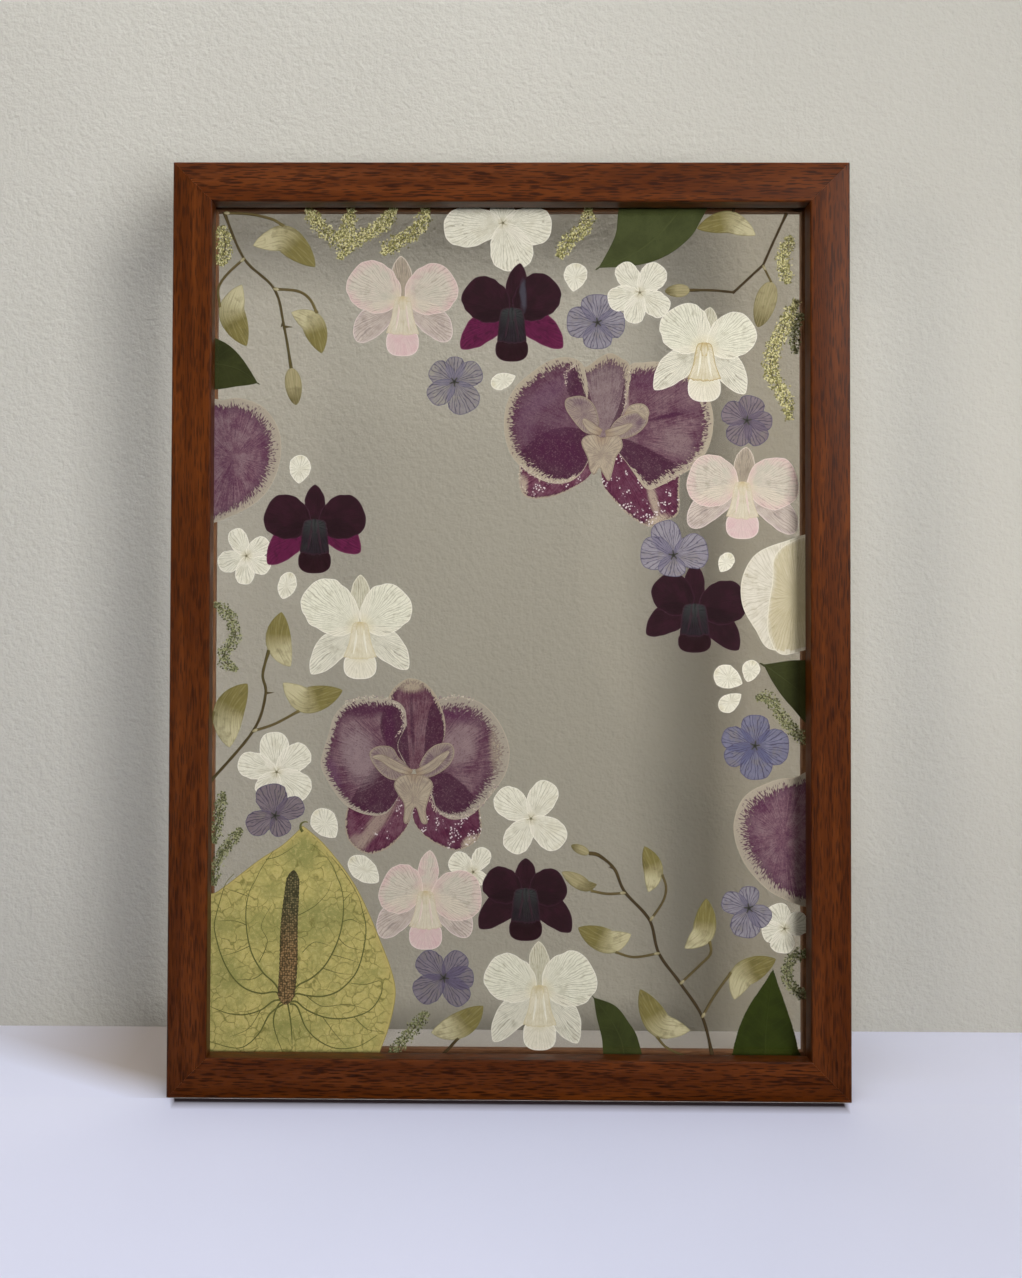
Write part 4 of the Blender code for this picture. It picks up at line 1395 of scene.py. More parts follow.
CRIMSON_SEPAL = PetalSkin.toned("dried_crimson_dendrobium_sepal",
                                "681d4a 4c1434 3b0f28 33092a 5a1b41 7a3a5e 35122b 3c0d30", roughness=0.55, sheen=0.15,
                                edge_mm=0.9, vein_mm=1.6, film_strength=0.8)
CRIMSON = (PLUM_PETAL, PLUM_PETAL, CRIMSON_SEPAL, PLUM_LIP, PLUM_TONGUE)

# Dried hydrangea skins: (petal, eye)
PALE_EYE = PetalSkin.toned("dried_white_hydrangea_eye", "938d6e a59f80 - 5f5a44 cfcab0 d8d4bf 6f6a4c", vein_mm=0.8)
DARK_EYE = PetalSkin.toned("dried_lilac_hydrangea_eye", "33342e 3f4036 2a2a27 1d1f20 3b3c3c 4a4a45 2c3029",
                           vein_mm=0.8)
HYDRANGEA_WHITE = (
    PetalSkin.toned("dried_white_hydrangea_petal", "eeeee3 dad8c8 cbc9b8 8b8770 edebdf f4f3ea cdc8ab f0eee4",
                    edge_mm=1.2, heart_mm=3.6, vein_strength=0.5, film_strength=0.65, **FINE_VEINS),
    PALE_EYE,
)


def hydrangea(name: str, ground: str, cloud: str, under: str, heart: str = "5b5866") -> tuple[Finish, Finish]:
    """The skins of a lilac hydrangea floret: thin, veined dark, and darker where two petals overlap.

    Args:
        name: what the finish is called.
        ground: its colour.
        cloud: a second tone in patches.
        under: colour where it lies over another petal.
        heart: colour next to its root.

    Returns:
        The skins of the petals and of the eye.
    """
    tones = f"{ground} {cloud} 8d887f 383450 {ground} 575370 {heart} {under}"
    return PetalSkin.toned(name, tones, edge_mm=0.6, heart_mm=3.0, vein_mm=2.7, vein_wide=0.36,
                           vein_strength=0.75), DARK_EYE


LILAC = hydrangea("dried_lilac_hydrangea_petal", "918e9d", "9d9aa4", "77738c")
BLUE = hydrangea("dried_blue_hydrangea_petal", "747590", "83849c", "5c6086")
MAUVE = hydrangea("dried_mauve_hydrangea_petal", "7d727b", "8c828a", "6a5f73", "4c4348")
GREY_LILAC = hydrangea("dried_grey_lilac_hydrangea_petal", "7d7684", "8d8690", "5f5777", "4a4348")
PALE_LILAC = hydrangea("dried_pale_lilac_hydrangea_petal", "8f8b93", "a09d92", "7c7890", "6c6a66")

# Dried moth orchid skins
UPPER_MARKS = (
    Mark((160, 310), (17, 15), 0, "573550", 0.55),
    Mark((190, 318), (6, 16), 0, "89797c", 0.5),
    Mark((194, 337), (8, 4), 0, "c1b7a3", 0.8),
    Mark((214, 326), (10, 5), 10, "4f2346", 0.6),
    Mark((223, 309.5), (13, 1.2), 13, "43183a", 0.8),
    Mark((226, 296), (9, 7), -35, "8e7b7f", 0.6),
    Mark((201, 315), (1.6, 14), 0, "a3958f", 0.75),
    Mark((166, 293), (18, 9), -25, "45183a", 0.7),
    Mark((232, 318), (6, 9), 0, "7d6470", 0.4),
    Mark((163, 320), (14, 5), 40, "765a72", 0.35),
    Mark((152, 305), (5, 10), 0, "765b6f", 0.3),
    Mark((176, 312), (2.4, 12), -8, "4a1d40", 0.55),
)
LOWER_MARKS = (
    Mark((71, 143), (9, 15), 15, "9a8a8f", 0.65),
    Mark((72, 166), (17, 5), 4, "451a3b", 0.75),
    Mark((120, 148), (9, 12), -20, "9a888c", 0.6),
    Mark((141, 150), (6, 20), 0, "b0a795", 0.9),
    Mark((117, 164), (12, 5), -12, "522549", 0.6),
    Mark((86, 155), (3, 12), 0, "4a1d40", 0.6),
    Mark((58, 133), (4, 10), 15, "6b4a68", 0.5),
)
DORSAL_MARKS = (
    Mark((96.5, 177.5), (7, 4), 0, "b0a693", 0.85),
    Mark((97, 158), (1.0, 15), 3, "371231", 0.6),
)
SEPAL_MARKS = (
    Mark((150, 274), (6, 3), 80, "b3a697", 0.9),
    Mark((80, 110), (17, 3.4), 54, "a3938a", 0.85),
    Mark((70, 100), (6, 4), 30, "a8998f", 0.6),
)
DUSTED_MARKS = (
    Mark((214.5, 268), (9, 2.2), 105, "b5a899", 0.8),
    Mark((216.5, 258), (6, 2.6), 20, "bdb19f", 0.9),
    Mark((126, 101), (5, 3), 30, "c0b4a2", 0.9),
)
MOTH_UPPER = FringedSkin("dried_moth_orchid_petal", marks=UPPER_MARKS, margin_mm=3.0, margin="b9b19f")
MOTH_LOWER = FringedSkin("dried_moth_orchid_petal_streaked", marks=LOWER_MARKS, margin_mm=2.0, margin="b6b0a2")
MOTH_LOWER_RIGHT = FringedSkin("dried_moth_orchid_petal_wide_margin", marks=LOWER_MARKS, margin_mm=4.2,
                               margin="aca69a")
MOTH_DORSAL_UPPER = FringedSkin.toned("dried_moth_orchid_dorsal", "77646b 96878a 5a3e51", margin_mm=3.0,
                                      marks=UPPER_MARKS[:2])
MOTH_DORSAL_LOWER = FringedSkin.toned("dried_moth_orchid_dorsal_plum", "66424f 877078 451a3a", margin_mm=1.3,
                                      marks=DORSAL_MARKS)
MOTH_SEPAL = FringedSkin.toned("dried_moth_orchid_sepal", "5c2743 7f5d6c 3f1231 - - 7d6068", margin_mm=0.6,
                               speck=0.03, marks=SEPAL_MARKS)
MOTH_DUSTED = FringedSkin.toned("dried_moth_orchid_sepal_dusted", "58243f 714b5f 3f1231 - - 7d6068", margin_mm=0.6,
                                speck=0.16, marks=DUSTED_MARKS)
MOTH_LOOSE = FringedSkin.toned("dried_moth_orchid_loose_petal", "6d4a5c 907a82 522a49 b5ae9f", margin_mm=4.2)
# The ears' and the lip's dark rim tones are painted shadow lines along their curled edges.
MOTH_EAR = PetalSkin.toned("dried_moth_orchid_ear", "8b7b7d a09389 6f5a68 64515b b1a798 5f4e52 998c80 7a6b70",
                           edge_mm=1.1, heart_mm=4.0, vein_mm=1.6, film_strength=0.8)
MOTH_LIP = PetalSkin.toned("dried_moth_orchid_lip", "a89d8f b8ad9b 867a74 7b6d63 bcb19f 7c6d61 94806e 988c80",
                           edge_mm=1.3, heart_mm=5.0, vein_strength=0.5)

CREAM = PetalSkin.toned("dried_cream_petal", "dcd9cf e3e0d6 bfb9a4 9a9379 dcd9cb eceade c9c09a bdb28c", edge_mm=1.6,
                        heart_mm=24.0, vein_mm=2.4, vein_strength=0.45, relief_mm=0.12, vein_wide=0.26)
CONFETTI = PetalSkin.toned("dried_white_hydrangea_loose_petal", "eeeee3 d9d7c7 cac8b7 8b8770 edebdf f4f3ea d6d2b9",
                           edge_mm=1.2, heart_mm=3.0, vein_strength=0.42, **FINE_VEINS)

SPATHE_MARKS = (
    Mark((49, 63), (10, 24), 100, "8d9059", 0.6),
    Mark((27, 58), (8, 24), 85, "979759", 0.5),
    Mark((43, 96), (10, 10), 0, "868a54", 0.65),
    Mark((38, 9), (7, 13), 90, "80854c", 0.6),
    Mark((8, 35), (9, 9), 0, "8b8f56", 0.5),
)
SPATHE = SpatheSkin("dried_anthurium_spathe", roughness=0.5, relief_mm=0.1, marks=SPATHE_MARKS)
SPATHE_VEIN = StreakedSkin.toned("dried_anthurium_vein", "5f6136 7b7c45 4c4d2b 6f713f 65683a", tip_from=0.6,
                                 fibre_mm=0.5)
SPADIX = SpadixSkin("dried_anthurium_spadix", roughness=0.65, relief_mm=0.25)
BUD = StreakedSkin.toned("dried_orchid_bud", "7f7748 cbc5a4 5f5838 c3bd96", roughness=0.55, tip_from=0.38,
                         fibre_mm=0.6)
BUD_PLAIN = StreakedSkin.toned("dried_orchid_bud_plain", "a39b78 6a6240 5f573c c0b998", fibre_mm=0.6, tip_from=0.5)
STEM = StreakedSkin.toned("dried_orchid_stem", "54492f 5f5834 382f20 756a48 3b3323", roughness=0.6, tip_from=0.6,
                          fibre_mm=0.5)
DARK_STEM = StreakedSkin.toned("dried_orchid_stem_dark", "463a26 5c5031 2c2419 55442f 2b2019", roughness=0.6,
                               tip_from=0.7, fibre_mm=0.5)
SIDE_STEM = StreakedSkin.toned("dried_orchid_side_stem", "685c3c 7b7048 453b27 877b56 40371f", roughness=0.6,
                               tip_from=0.6, fibre_mm=0.5)
BRACT = StreakedSkin.toned("dried_orchid_bract", "a39a7a c4bda1 7d7458 cfc8ac")
CATKIN = GranularSkin("dried_catkin_bracts", roughness=0.85)
SHADED_CATKIN = GranularSkin.toned("dried_catkin_bracts_shaded", "41452c 6c7150 a2a57f", roughness=0.85)
CURLS = GranularSkin.toned("dried_moth_orchid_fringe", "85727c ada196 d3cabb")
ROLLED_RIM = StreakedSkin.toned("dried_moth_orchid_rolled_rim", "b6ab9a a69b8b 85776c cbc1b0 6f6158", fibre_mm=0.6)


def leaf_skin(name: str, ground: str, dark: str, vein: str) -> tuple[Finish, Finish]:
    """The skins of a leaf and of its midrib.

    Args:
        name: what the leaf's skin is called.
        ground: its colour.
        dark: the patches.
        vein: the veins and the midrib.

    Returns:
        The skins of the blade and of the midrib.
    """
    rib = f"{vein} {ground} {ground} {vein} {ground}"
    return (LeafSkin.toned(name, f"{ground} {dark} {vein}", roughness=0.55),
            StreakedSkin.toned(name + "_midrib", rib, roughness=0.55))


BRIGHT_LEAF = leaf_skin("dried_leaf_bright", "485030", "394024", "49512f")
DULL_LEAF = leaf_skin("dried_leaf_dull", "3a4222", "2d341a", "454b2b")
DEEP_LEAF = leaf_skin("dried_leaf_deep", "2f3a12", "232d0d", "38431b")
SHADED_LEAF = leaf_skin("dried_leaf_shaded", "373c20", "2a2f19", "41462b")


# --- the frame and its glass -------------------------------------------------------------------------


@dataclass(frozen=True)
class Moulding:
    """A plain square moulding, mitred into a rectangle, and the beads that keep the glass in its rebate.

    Attributes:
        sides: the four members, as (side, kind of member).
        outer_ease: radius of the outer arrises, mm.
        sight_ease: radius of the arris at the sight edge, mm.
        bead_ease: bevel of a bead's inner edge, mm.
        joint: half the glue line of a mitre, mm.
    """

    sides: tuple[tuple[str, str], ...] = (("bottom", "rail"), ("top", "rail"), ("left", "stile"), ("right", "stile"))
    outer_ease: float = 0.8
    sight_ease: float = 1.0
    bead_ease: float = 0.5
    joint: float = 0.02

    def corner(self, across: float, depth: float, radius: float, start: float) -> list[Flat]:
        """Six points of a quarter circle that rounds a corner of the section.

        Args:
            across: the corner's distance inwards, mm.
            depth: its depth, mm.
            radius: of the arc, mm.
            start: direction from the arc's middle to its first point, degrees.

        Returns:
            The points, in the section's own order.
        """
        angles = np.radians(start - np.linspace(0, 90, 6))
        middle = (start - 45) % 360
        side = -1 if math.cos(math.radians(middle)) > 0 else 1
        rise = -1 if math.sin(math.radians(middle)) > 0 else 1
        across, depth = across + side * radius, depth + rise * radius
        return [(across + radius * math.cos(a), depth + radius * math.sin(a)) for a in angles]

    def section(self, node: str) -> Array:
        """The section of a member as (inwards, depth), mm: the square of the moulding less the rebate.

        Args:
            node: the member in the part's source.

        Returns:
            Points (n, 2), mm.
        """
        low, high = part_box(node)
        face, depth = min(high.x - low.x, high.z - low.z) / MM, (high.y - low.y) / MM
        lip = (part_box("glass_front")[0].y - SETTING.front) / MM - LAYER_AIR_MM
        rebate = (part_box("glass_front")[0].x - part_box("frame_left_stile")[0].x) / MM - LAYER_AIR_MM
        points = [
            *self.corner(0, 0, self.outer_ease, 270)[::-1],
            *self.corner(face, 0, self.sight_ease, 360)[::-1],
            (face, lip), (rebate, lip), (rebate, depth),
            *self.corner(0, depth, self.outer_ease, 180)[::-1],
        ]
        return np.array(points)

    def bead_section(self, node: str) -> Array:
        """The section of a bead: a square with its edge at the sight opening bevelled.

        Args:
            node: the bead in the part's source.

        Returns:
            Points (n, 2), mm.
        """
        low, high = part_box(node)
        outside = FACE - min(high.x - low.x, high.z - low.z) / MM
        near, far = (low.y - SETTING.front) / MM, (high.y - SETTING.front) / MM
        ease = self.bead_ease
        return np.array([(outside, near), (FACE, near), (FACE, far - ease), (FACE - ease, far), (outside, far)])

    def member(self, side: str, section: Array, finish: Finish, name: str) -> Surface:
        """One member: its section carried along the side, with each end cut at 45 degrees. A point that is
        inwards by s stops s short of the outer corner.

        Args:
            side: bottom, top, left or right.
            section: (inwards, depth), mm.
            finish: what it is dressed in.
            name: shifts the grain, so that no two members are alike.

        Returns:
            The closed member. Its grain runs along it.
        """
        wide, tall = SETTING.width + 2 * FACE, SETTING.height + 2 * FACE
        along = wide if side in ("bottom", "top") else tall
        inwards, depth = section.T
        run = np.stack([inwards + self.joint, along - inwards - self.joint])
        inset = np.broadcast_to(inwards, run.shape)
        flat = {"bottom": (run, inset), "top": (run, tall - inset),
                "left": (inset, run), "right": (wide - inset, run)}[side]
        rings = SETTING.place(np.stack(flat, -1) - FACE, np.broadcast_to(depth, run.shape))
        if side in ("bottom", "right"):
            rings, run = rings[::-1], run[::-1]
        shift = seeded(name).uniform(0, 900)
        grain = np.stack([run + shift, np.broadcast_to(lengths(section), run.shape) + shift], -1)
        count = len(section)
        k = np.arange(count)
        after = np.roll(k, -1)
        quads = np.stack([k, after, count + after, count + k], -1)
        caps = np.stack([k[::-1], count + k])
        growth = np.zeros((2 * count, 3))
        return Surface(rings.reshape(-1, 3), [quads, caps], grain.reshape(-1, 2), growth, finish)

    def build(self) -> None:
        """Makes the four members and the four beads."""
        for side, kind in self.sides:
            node = f"frame_{side}_{kind}"
            # Stiles take the copy of the wood that carries painted shade.
            finish = MAHOGANY if kind == "rail" else SHADED_MAHOGANY_STILE
            wood = self.member(side, self.section(node), finish, node)
            Piece(f"moulding_{side}", [wood]).make("mahogany_stained_wood", node, sharp_degrees=30, shadow=True)
            bead = f"bead_{side}"
            strip = self.member(side, self.bead_section(bead), BEAD_WOOD, bead)
            Piece(f"retaining_{bead}", [strip]).make("bead_wood", bead, sharp_degrees=30, shadow=True)


def glaze() -> None:
    """Dresses the two panes in float glass. They cast no shadow, so that lamps reach what lies between them."""
    for node in ("glass_front", "glass_back"):
        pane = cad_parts[node]
        pane.data.materials.clear()
        pane.data.materials.append(GLASS.material())
        pane.visible_shadow = False
        LOG.info("%s dressed in %s", node, GLASS.name)


# --- the pressed things ------------------------------------------------------------------------------


@dataclass(frozen=True)
class Dendrobium:
    """A pressed dendrobium: two round petals over three sepals, and over them the lip.

    Attributes:
        name: its CAD node.
        skins: finishes of dorsal sepal, petals, lower sepals, lip and tongue.
        slot: the record's slot.
        layer: the layer that it lies in.
        centre: its middle.
        dorsal: tip of the top sepal from the centre.
        petals: left and right petal as (reach, rise, radius) of the disc that it fills.
        sepals: tips of the lower sepals from the centre.
        lip: length of the lip, mm.
        sepal_point: power of the lower sepals' points.
        sepal_bend: how far their middles bulge upwards, mm.
        tube: half the width of the lip's tube at its top, its shoulder, its middle and its frill, mm.
        dorsal_mm: width of the top sepal.
        sepal_mm: width of the lower sepals.
        foot_mm: how far beside the centre a petal starts.
        tongue_mm: half the width of the tongue.
    """

    name: str
    skins: tuple[Finish, ...]
    slot: str
    layer: Layer
    centre: Flat
    dorsal: Flat
    petals: tuple[tuple[float, float, float], ...]
    sepals: tuple[Flat, ...]
    lip: float
    sepal_point: float = 0.68
    sepal_bend: float = 2.2
    tube: tuple[float, float, float, float] = (2.8, 4.4, 5.6, 8.0)
    dorsal_mm: float = 10.2
    sepal_mm: float = 14.4
    foot_mm: float = 3.0
    tongue_mm: float = 8.0

    def tepals(self) -> list[tuple[Array, Finish, float]]:
        """The five tepals as (outline, finish, step in the layer), from the back.

        Returns:
            The outline, finish and step of each.
        """
        middle = np.array(self.centre)
        dorsal, petal_skin, sepal_skin = self.skins[:3]
        top = petal(middle, middle + self.dorsal, self.dorsal_mm, 0.8, 0.72, self.name + "d")
        made = [(top, dorsal, 0.18)]
        for i, offset in enumerate(self.sepals):
            bend = math.copysign(self.sepal_bend, offset[0])
            outline = petal(middle, middle + offset, self.sepal_mm, 0.66, self.sepal_point, f"{self.name}s{i}",
                            bend=bend)
            made.append((outline, sepal_skin, 0.20 + 0.02 * i))
        for i, (reach, rise, radius) in enumerate(self.petals):
            foot = middle + (math.copysign(self.foot_mm, reach), -0.8)
            disc = middle + (math.copysign(abs(reach) - radius, reach), rise) - foot
            tip = foot + disc * (1 + radius / np.hypot(*disc))
            outline = petal(foot, tip, 2.04 * radius, 0.45, 0.36, f"{self.name}p{i}")
            made.append((outline, petal_skin, 0.42 + 0.03 * i))
        return made

    def lip_surfaces(self) -> list[Surface]:
        """The tongue, a superellipse of power 2.6; over it the tube, which widens to a frilled edge; and the
        column at its top.

        Returns:
            The surfaces.
        """
        rng = seeded(self.name)
        across, up = self.centre
        turn = np.linspace(0, 2 * math.pi, 72, endpoint=False)
        power = 2 / 2.6
        round_x = np.sign(np.cos(turn)) * np.abs(np.cos(turn)) ** power
        round_y = np.sign(np.sin(turn)) * np.abs(np.sin(turn)) ** power
        tongue = np.stack([across + self.tongue_mm * round_x, up - 0.74 * self.lip + 0.26 * self.lip * round_y], -1)
        frill = 0.56 * self.lip
        edge = np.linspace(-1, 1, 22)
        top, shoulder, waist, widest = self.tube
        torn = rng.uniform(-0.45, 0.45, len(edge))
        ragged = np.stack([across + widest * edge, up - frill - 1.3 * (1 - edge**2) + torn], -1)
        side = [(across - top, up + 2.5), (across - shoulder, up - 1.5), (across - waist, up - frill * 0.55)]
        other = [(2 * across - x, y) for x, y in reversed(side)]
        tube = traced([*side, *ragged, *other], 110, closed=True, steps=4)
        lip_skin, tongue_skin = self.skins[3:]
        step = self.layer.depth
        ridge_skin = lip_skin if self.slot == PLUM_SLOT else self.skins[1]
        ridges = []
        for way in (-1, 1):
            path = traced([(across + way * 1.4, up + 1), (across + way * 2.2, up - frill * 0.45),
                           (across + way * 3.4, up - frill + 1)], 24)
            half = 0.5 * np.sin(np.linspace(0.15, math.pi - 0.15, len(path)))
            ridges.append(pod(path, half, step(0.84), 0.16, ridge_skin, around=8))
        column = traced([(across, up + 3.0), (across, up - 0.5), (across, up - 3.6)], 14)
        half = 1.9 * np.sin(np.linspace(0.35, math.pi - 0.5, len(column))) ** 0.6
        return [
            sheet(tongue, (across, up - frill + 2), step(0.62), tongue_skin, self.name + "t"),
            sheet(tube, (across, up + 1), step(0.80), lip_skin, self.name + "l"),
            *ridges,
            pod(column, half, step(0.84), 0.26, lip_skin),
        ]

    def build(self) -> None:
        """Makes the flower. Each tepal covers those behind it."""
        surfaces, behind = [], []
        for i, (outline, skin, step) in enumerate(self.tepals()):
            surfaces.append(sheet(outline, self.centre, self.layer.depth(step), skin, f"{self.name}{i}",
                                  rows=14, behind=behind))
            behind.append(outline)
        Piece(self.name + "_pressed", surfaces + self.lip_surfaces()).make(self.slot, self.name)


@dataclass(frozen=True)
class MothOrchid:
    """A pressed moth orchid: five broad tepals, two ear-shaped side lobes, and a forked lip.

    Attributes:
        name: its CAD node.
        centre: its middle.
        tepals: outlines and finishes from the back.
        lobes: outlines and finishes of the ears and the lip, from the back.
        fringes: lines along which the petals' edges curl up.
        arms: middle lines of the thick folds that carry the ears, from the centre.
        arm_mm: their greatest width.
        curls_per_mm: number of curled threads along a fringe.
    """

    name: str
    centre: Flat
    tepals: tuple[tuple[Finish, Outline], ...]
    lobes: tuple[tuple[Finish, Outline], ...]
    fringes: tuple[Outline, ...]
    arms: tuple[Outline, ...]
    arm_mm: float = 4.6
    curls_per_mm: float = 2.6

    def curls(self) -> list[Surface]:
        """The curled edges: long pale grains, turned every way, along each fringe.

        Returns:
            The surfaces.
        """
        made = []
        for i, points in enumerate(self.fringes):
            rng = seeded(f"{self.name}fringe{i}")
            path = smooth(points)
            count = int(self.curls_per_mm * lengths(path)[-1])
            flat = evenly(path, count) + rng.normal(0, 0.45, (count, 2))
            size = np.stack([rng.uniform(0.5, 1.0, count), rng.uniform(0.12, 0.22, count), np.full(count, 0.06)], -1)
            depth = np.full(count, Layer.BACK.depth(0.66))
            made.append(grains(flat, depth, size, rng.uniform(0, TURN, count), CURLS, rng.uniform(0, 1, count)))
        return made

    def build(self) -> None:
        """Makes the flower. The tepals' grain runs from the centre, and a lobe's from its own end there. A rolled
        rim follows each lobe but for its foot."""
        surfaces, behind = self.curls(), []
        for i, (skin, points) in enumerate(self.tepals):
            outline = traced(points, 200, closed=True)
            depth = Layer.BACK.depth(0.17 + 0.07 * i)
            surfaces.append(sheet(outline, self.centre, depth, skin, f"{self.name}{i}", rows=40,
                                  behind=behind, crinkle=0.02))
            behind.append(outline)
        for i, (skin, points) in enumerate(self.lobes):
            outline = traced(points, 110, closed=True)
            nearest = np.hypot(*(outline - self.centre).T).argmin()
            depth = Layer.BACK.depth(0.70 + 0.06 * i)
            surfaces.append(sheet(outline, tuple(outline[nearest]), depth, skin, f"{self.name}lobe{i}", rows=16,
                                  pole=tuple(outline.mean(0))))
            rim = np.roll(outline, -int(nearest), 0)[6:-6]
            roll = 0.34 * np.sin(np.linspace(0.2, math.pi - 0.2, len(rim))) ** 0.4
            surfaces.append(pod(rim, roll, depth, 0.22, ROLLED_RIM, around=8))
        for points in self.arms:
            path = traced(points, 24)
            half = self.arm_mm / 2 * np.sin(np.linspace(0.5, math.pi - 0.15, len(path))) ** 0.6
            surfaces.append(pod(path, half, Layer.BACK.depth(0.86), 0.2, MOTH_LIP))
        Piece(self.name + "_pressed", surfaces).make("pressed_purple_petal", self.name)


@dataclass(frozen=True)
class Floret:
    """A pressed hydrangea floret: papery petals round a small star-shaped eye.

    Attributes:
        name: its CAD node, or its own name if it has none.
        skins: finishes of petals and eye.
        slot: the record's slot.
        layer: the layer that it lies in.
        centre: its middle.
        petals: each as (direction in degrees, length, width), from the back.
        solid: True if it has a CAD node.
    """

    name: str
    skins: tuple[Finish, Finish]
    slot: str
    layer: Layer
    centre: Flat
    petals: tuple[tuple[float, float, float], ...]
    solid: bool = True

    def eye(self) -> Array:
        """A five-rayed star: its radius goes from 0.9 to 2.6 mm with the cosine of five times the angle.

        Returns:
            Points (n, 2), mm.
        """
        turn = np.linspace(0, 2 * math.pi, 60, endpoint=False)
        radius = 0.9 + 1.7 * (0.5 + 0.5 * np.cos(5 * turn + seeded(self.name).uniform(0, 6))) ** 3
        return np.asarray(self.centre) + radius[:, None] * np.stack([np.cos(turn), np.sin(turn)], -1)

    def build(self) -> None:
        """Makes the floret."""
        surfaces, behind = [], []
        for i, (way, length, width) in enumerate(self.petals):
            tip = self.centre + np.array([math.cos(math.radians(way)), math.sin(math.radians(way))]) * length
            outline = petal(self.centre, tuple(tip), 1.04 * width, 0.6, 0.38, f"{self.name}{i}")
            surfaces.append(sheet(outline, self.centre, self.layer.depth(0.2 + 0.11 * i), self.skins[0],
                                  f"{self.name}{i}", behind=behind))
            behind.append(outline)
        surfaces.append(sheet(self.eye(), self.centre, self.layer.depth(0.85), self.skins[1], self.name, rows=4,
                              pole=self.centre))
        nodes = (self.name,) if self.solid else ()
        Piece(self.name + "_pressed", surfaces).make(self.slot, *nodes)


@dataclass(frozen=True)
class LoosePetal:
    """A petal that lies by itself.

    Attributes:
        name: its CAD node.
        skin: its finish.
        slot: the record's slot.
        layer: the layer that it lies in.
        root: where its veins come from, which may be past the edge of the glass.
        outline: its rim, rounded through these points.
        fold: a second petal half over it, as (root, outline), or None.
    """

    name: str
    skin: Finish
    slot: str
    layer: Layer
    root: Flat
    outline: Outline
    fold: tuple[Flat, Outline] | None = None

    def build(self) -> None:
        """Makes the petal, and over it its folded part if it has one."""
        rim = traced(self.outline, 200, closed=True)
        pole = tuple(rim.mean(0))
        surfaces = [sheet(rim, self.root, self.layer.depth(0.3), self.skin, self.name, rows=36, pole=pole,
                          crinkle=0.02)]
        if self.fold:
            root, points = self.fold
            over = traced(points, 160, closed=True)
            surfaces.append(sheet(over, root, self.layer.depth(0.7), self.skin, self.name + "fold", rows=24,
                                  pole=tuple(over.mean(0)), behind=(rim,)))
        Piece(self.name + "_pressed", surfaces).make(self.slot, self.name)


@dataclass(frozen=True)
class Anthurium:
    """A pressed anthurium: the spathe with its looping veins and curled tail, and the spadix over it.

    Attributes:
        outline: the spathe's rim.
        root: where its veins come from.
        veins: the main veins, from the root.
        tail: the curled tip.
        spadix: its middle line, from the base.
        spadix_mm: its width.
    """

    outline: Outline
    root: Flat
    veins: tuple[Outline, ...]
    tail: Outline
    spadix: Outline
    spadix_mm: float = 9.0

    def build(self) -> None:
        """Makes spathe and spadix. A vein is 0.9 mm wide at its root and thins to its end. One that starts away
        from the root is thin all along."""
        rim = traced(self.outline, 240, closed=True)
        step = Layer.BACK.depth
        surfaces = [sheet(rim, self.root, step(0.45), SPATHE, "spathe", rows=48, pole=(40, 45), crinkle=0.05)]
        for points in self.veins:
            path = traced(points, 60)
            half = 0.44 - 0.28 * np.linspace(0, 1, len(path))
            far = np.hypot(*np.subtract(points[0], self.root)) > 8
            surfaces.append(pod(path, half * (0.5 if far else 1.0), step(0.47), 0.16, SPATHE_VEIN, around=8))
        tail = traced(self.tail, 20)
        surfaces.append(pod(tail, 0.75 - 0.5 * np.linspace(0, 1, len(tail)), step(0.5), 0.4, SPATHE_VEIN, around=8))
        Piece("anthurium_spathe_pressed", surfaces).make("pressed_spathe", "anthurium_spathe")
        path = traced(self.spadix, 110)
        t = np.linspace(0, 1, len(path))
        half = self.spadix_mm / 2 * np.minimum(1, np.minimum(t, 1 - t) * 15 + 0.02) ** 0.5
        half *= (0.9 + 0.5 * t - 0.76 * t**2) * (1 + 0.035 * np.sin(t * 190))
        body = pod(path, half, Layer.FRONT.depth(0.5), 0.72, SPADIX, around=36, flatness=0.7)
        Piece("anthurium_spadix_pressed", [body]).make("pressed_spathe", "anthurium_spadix")


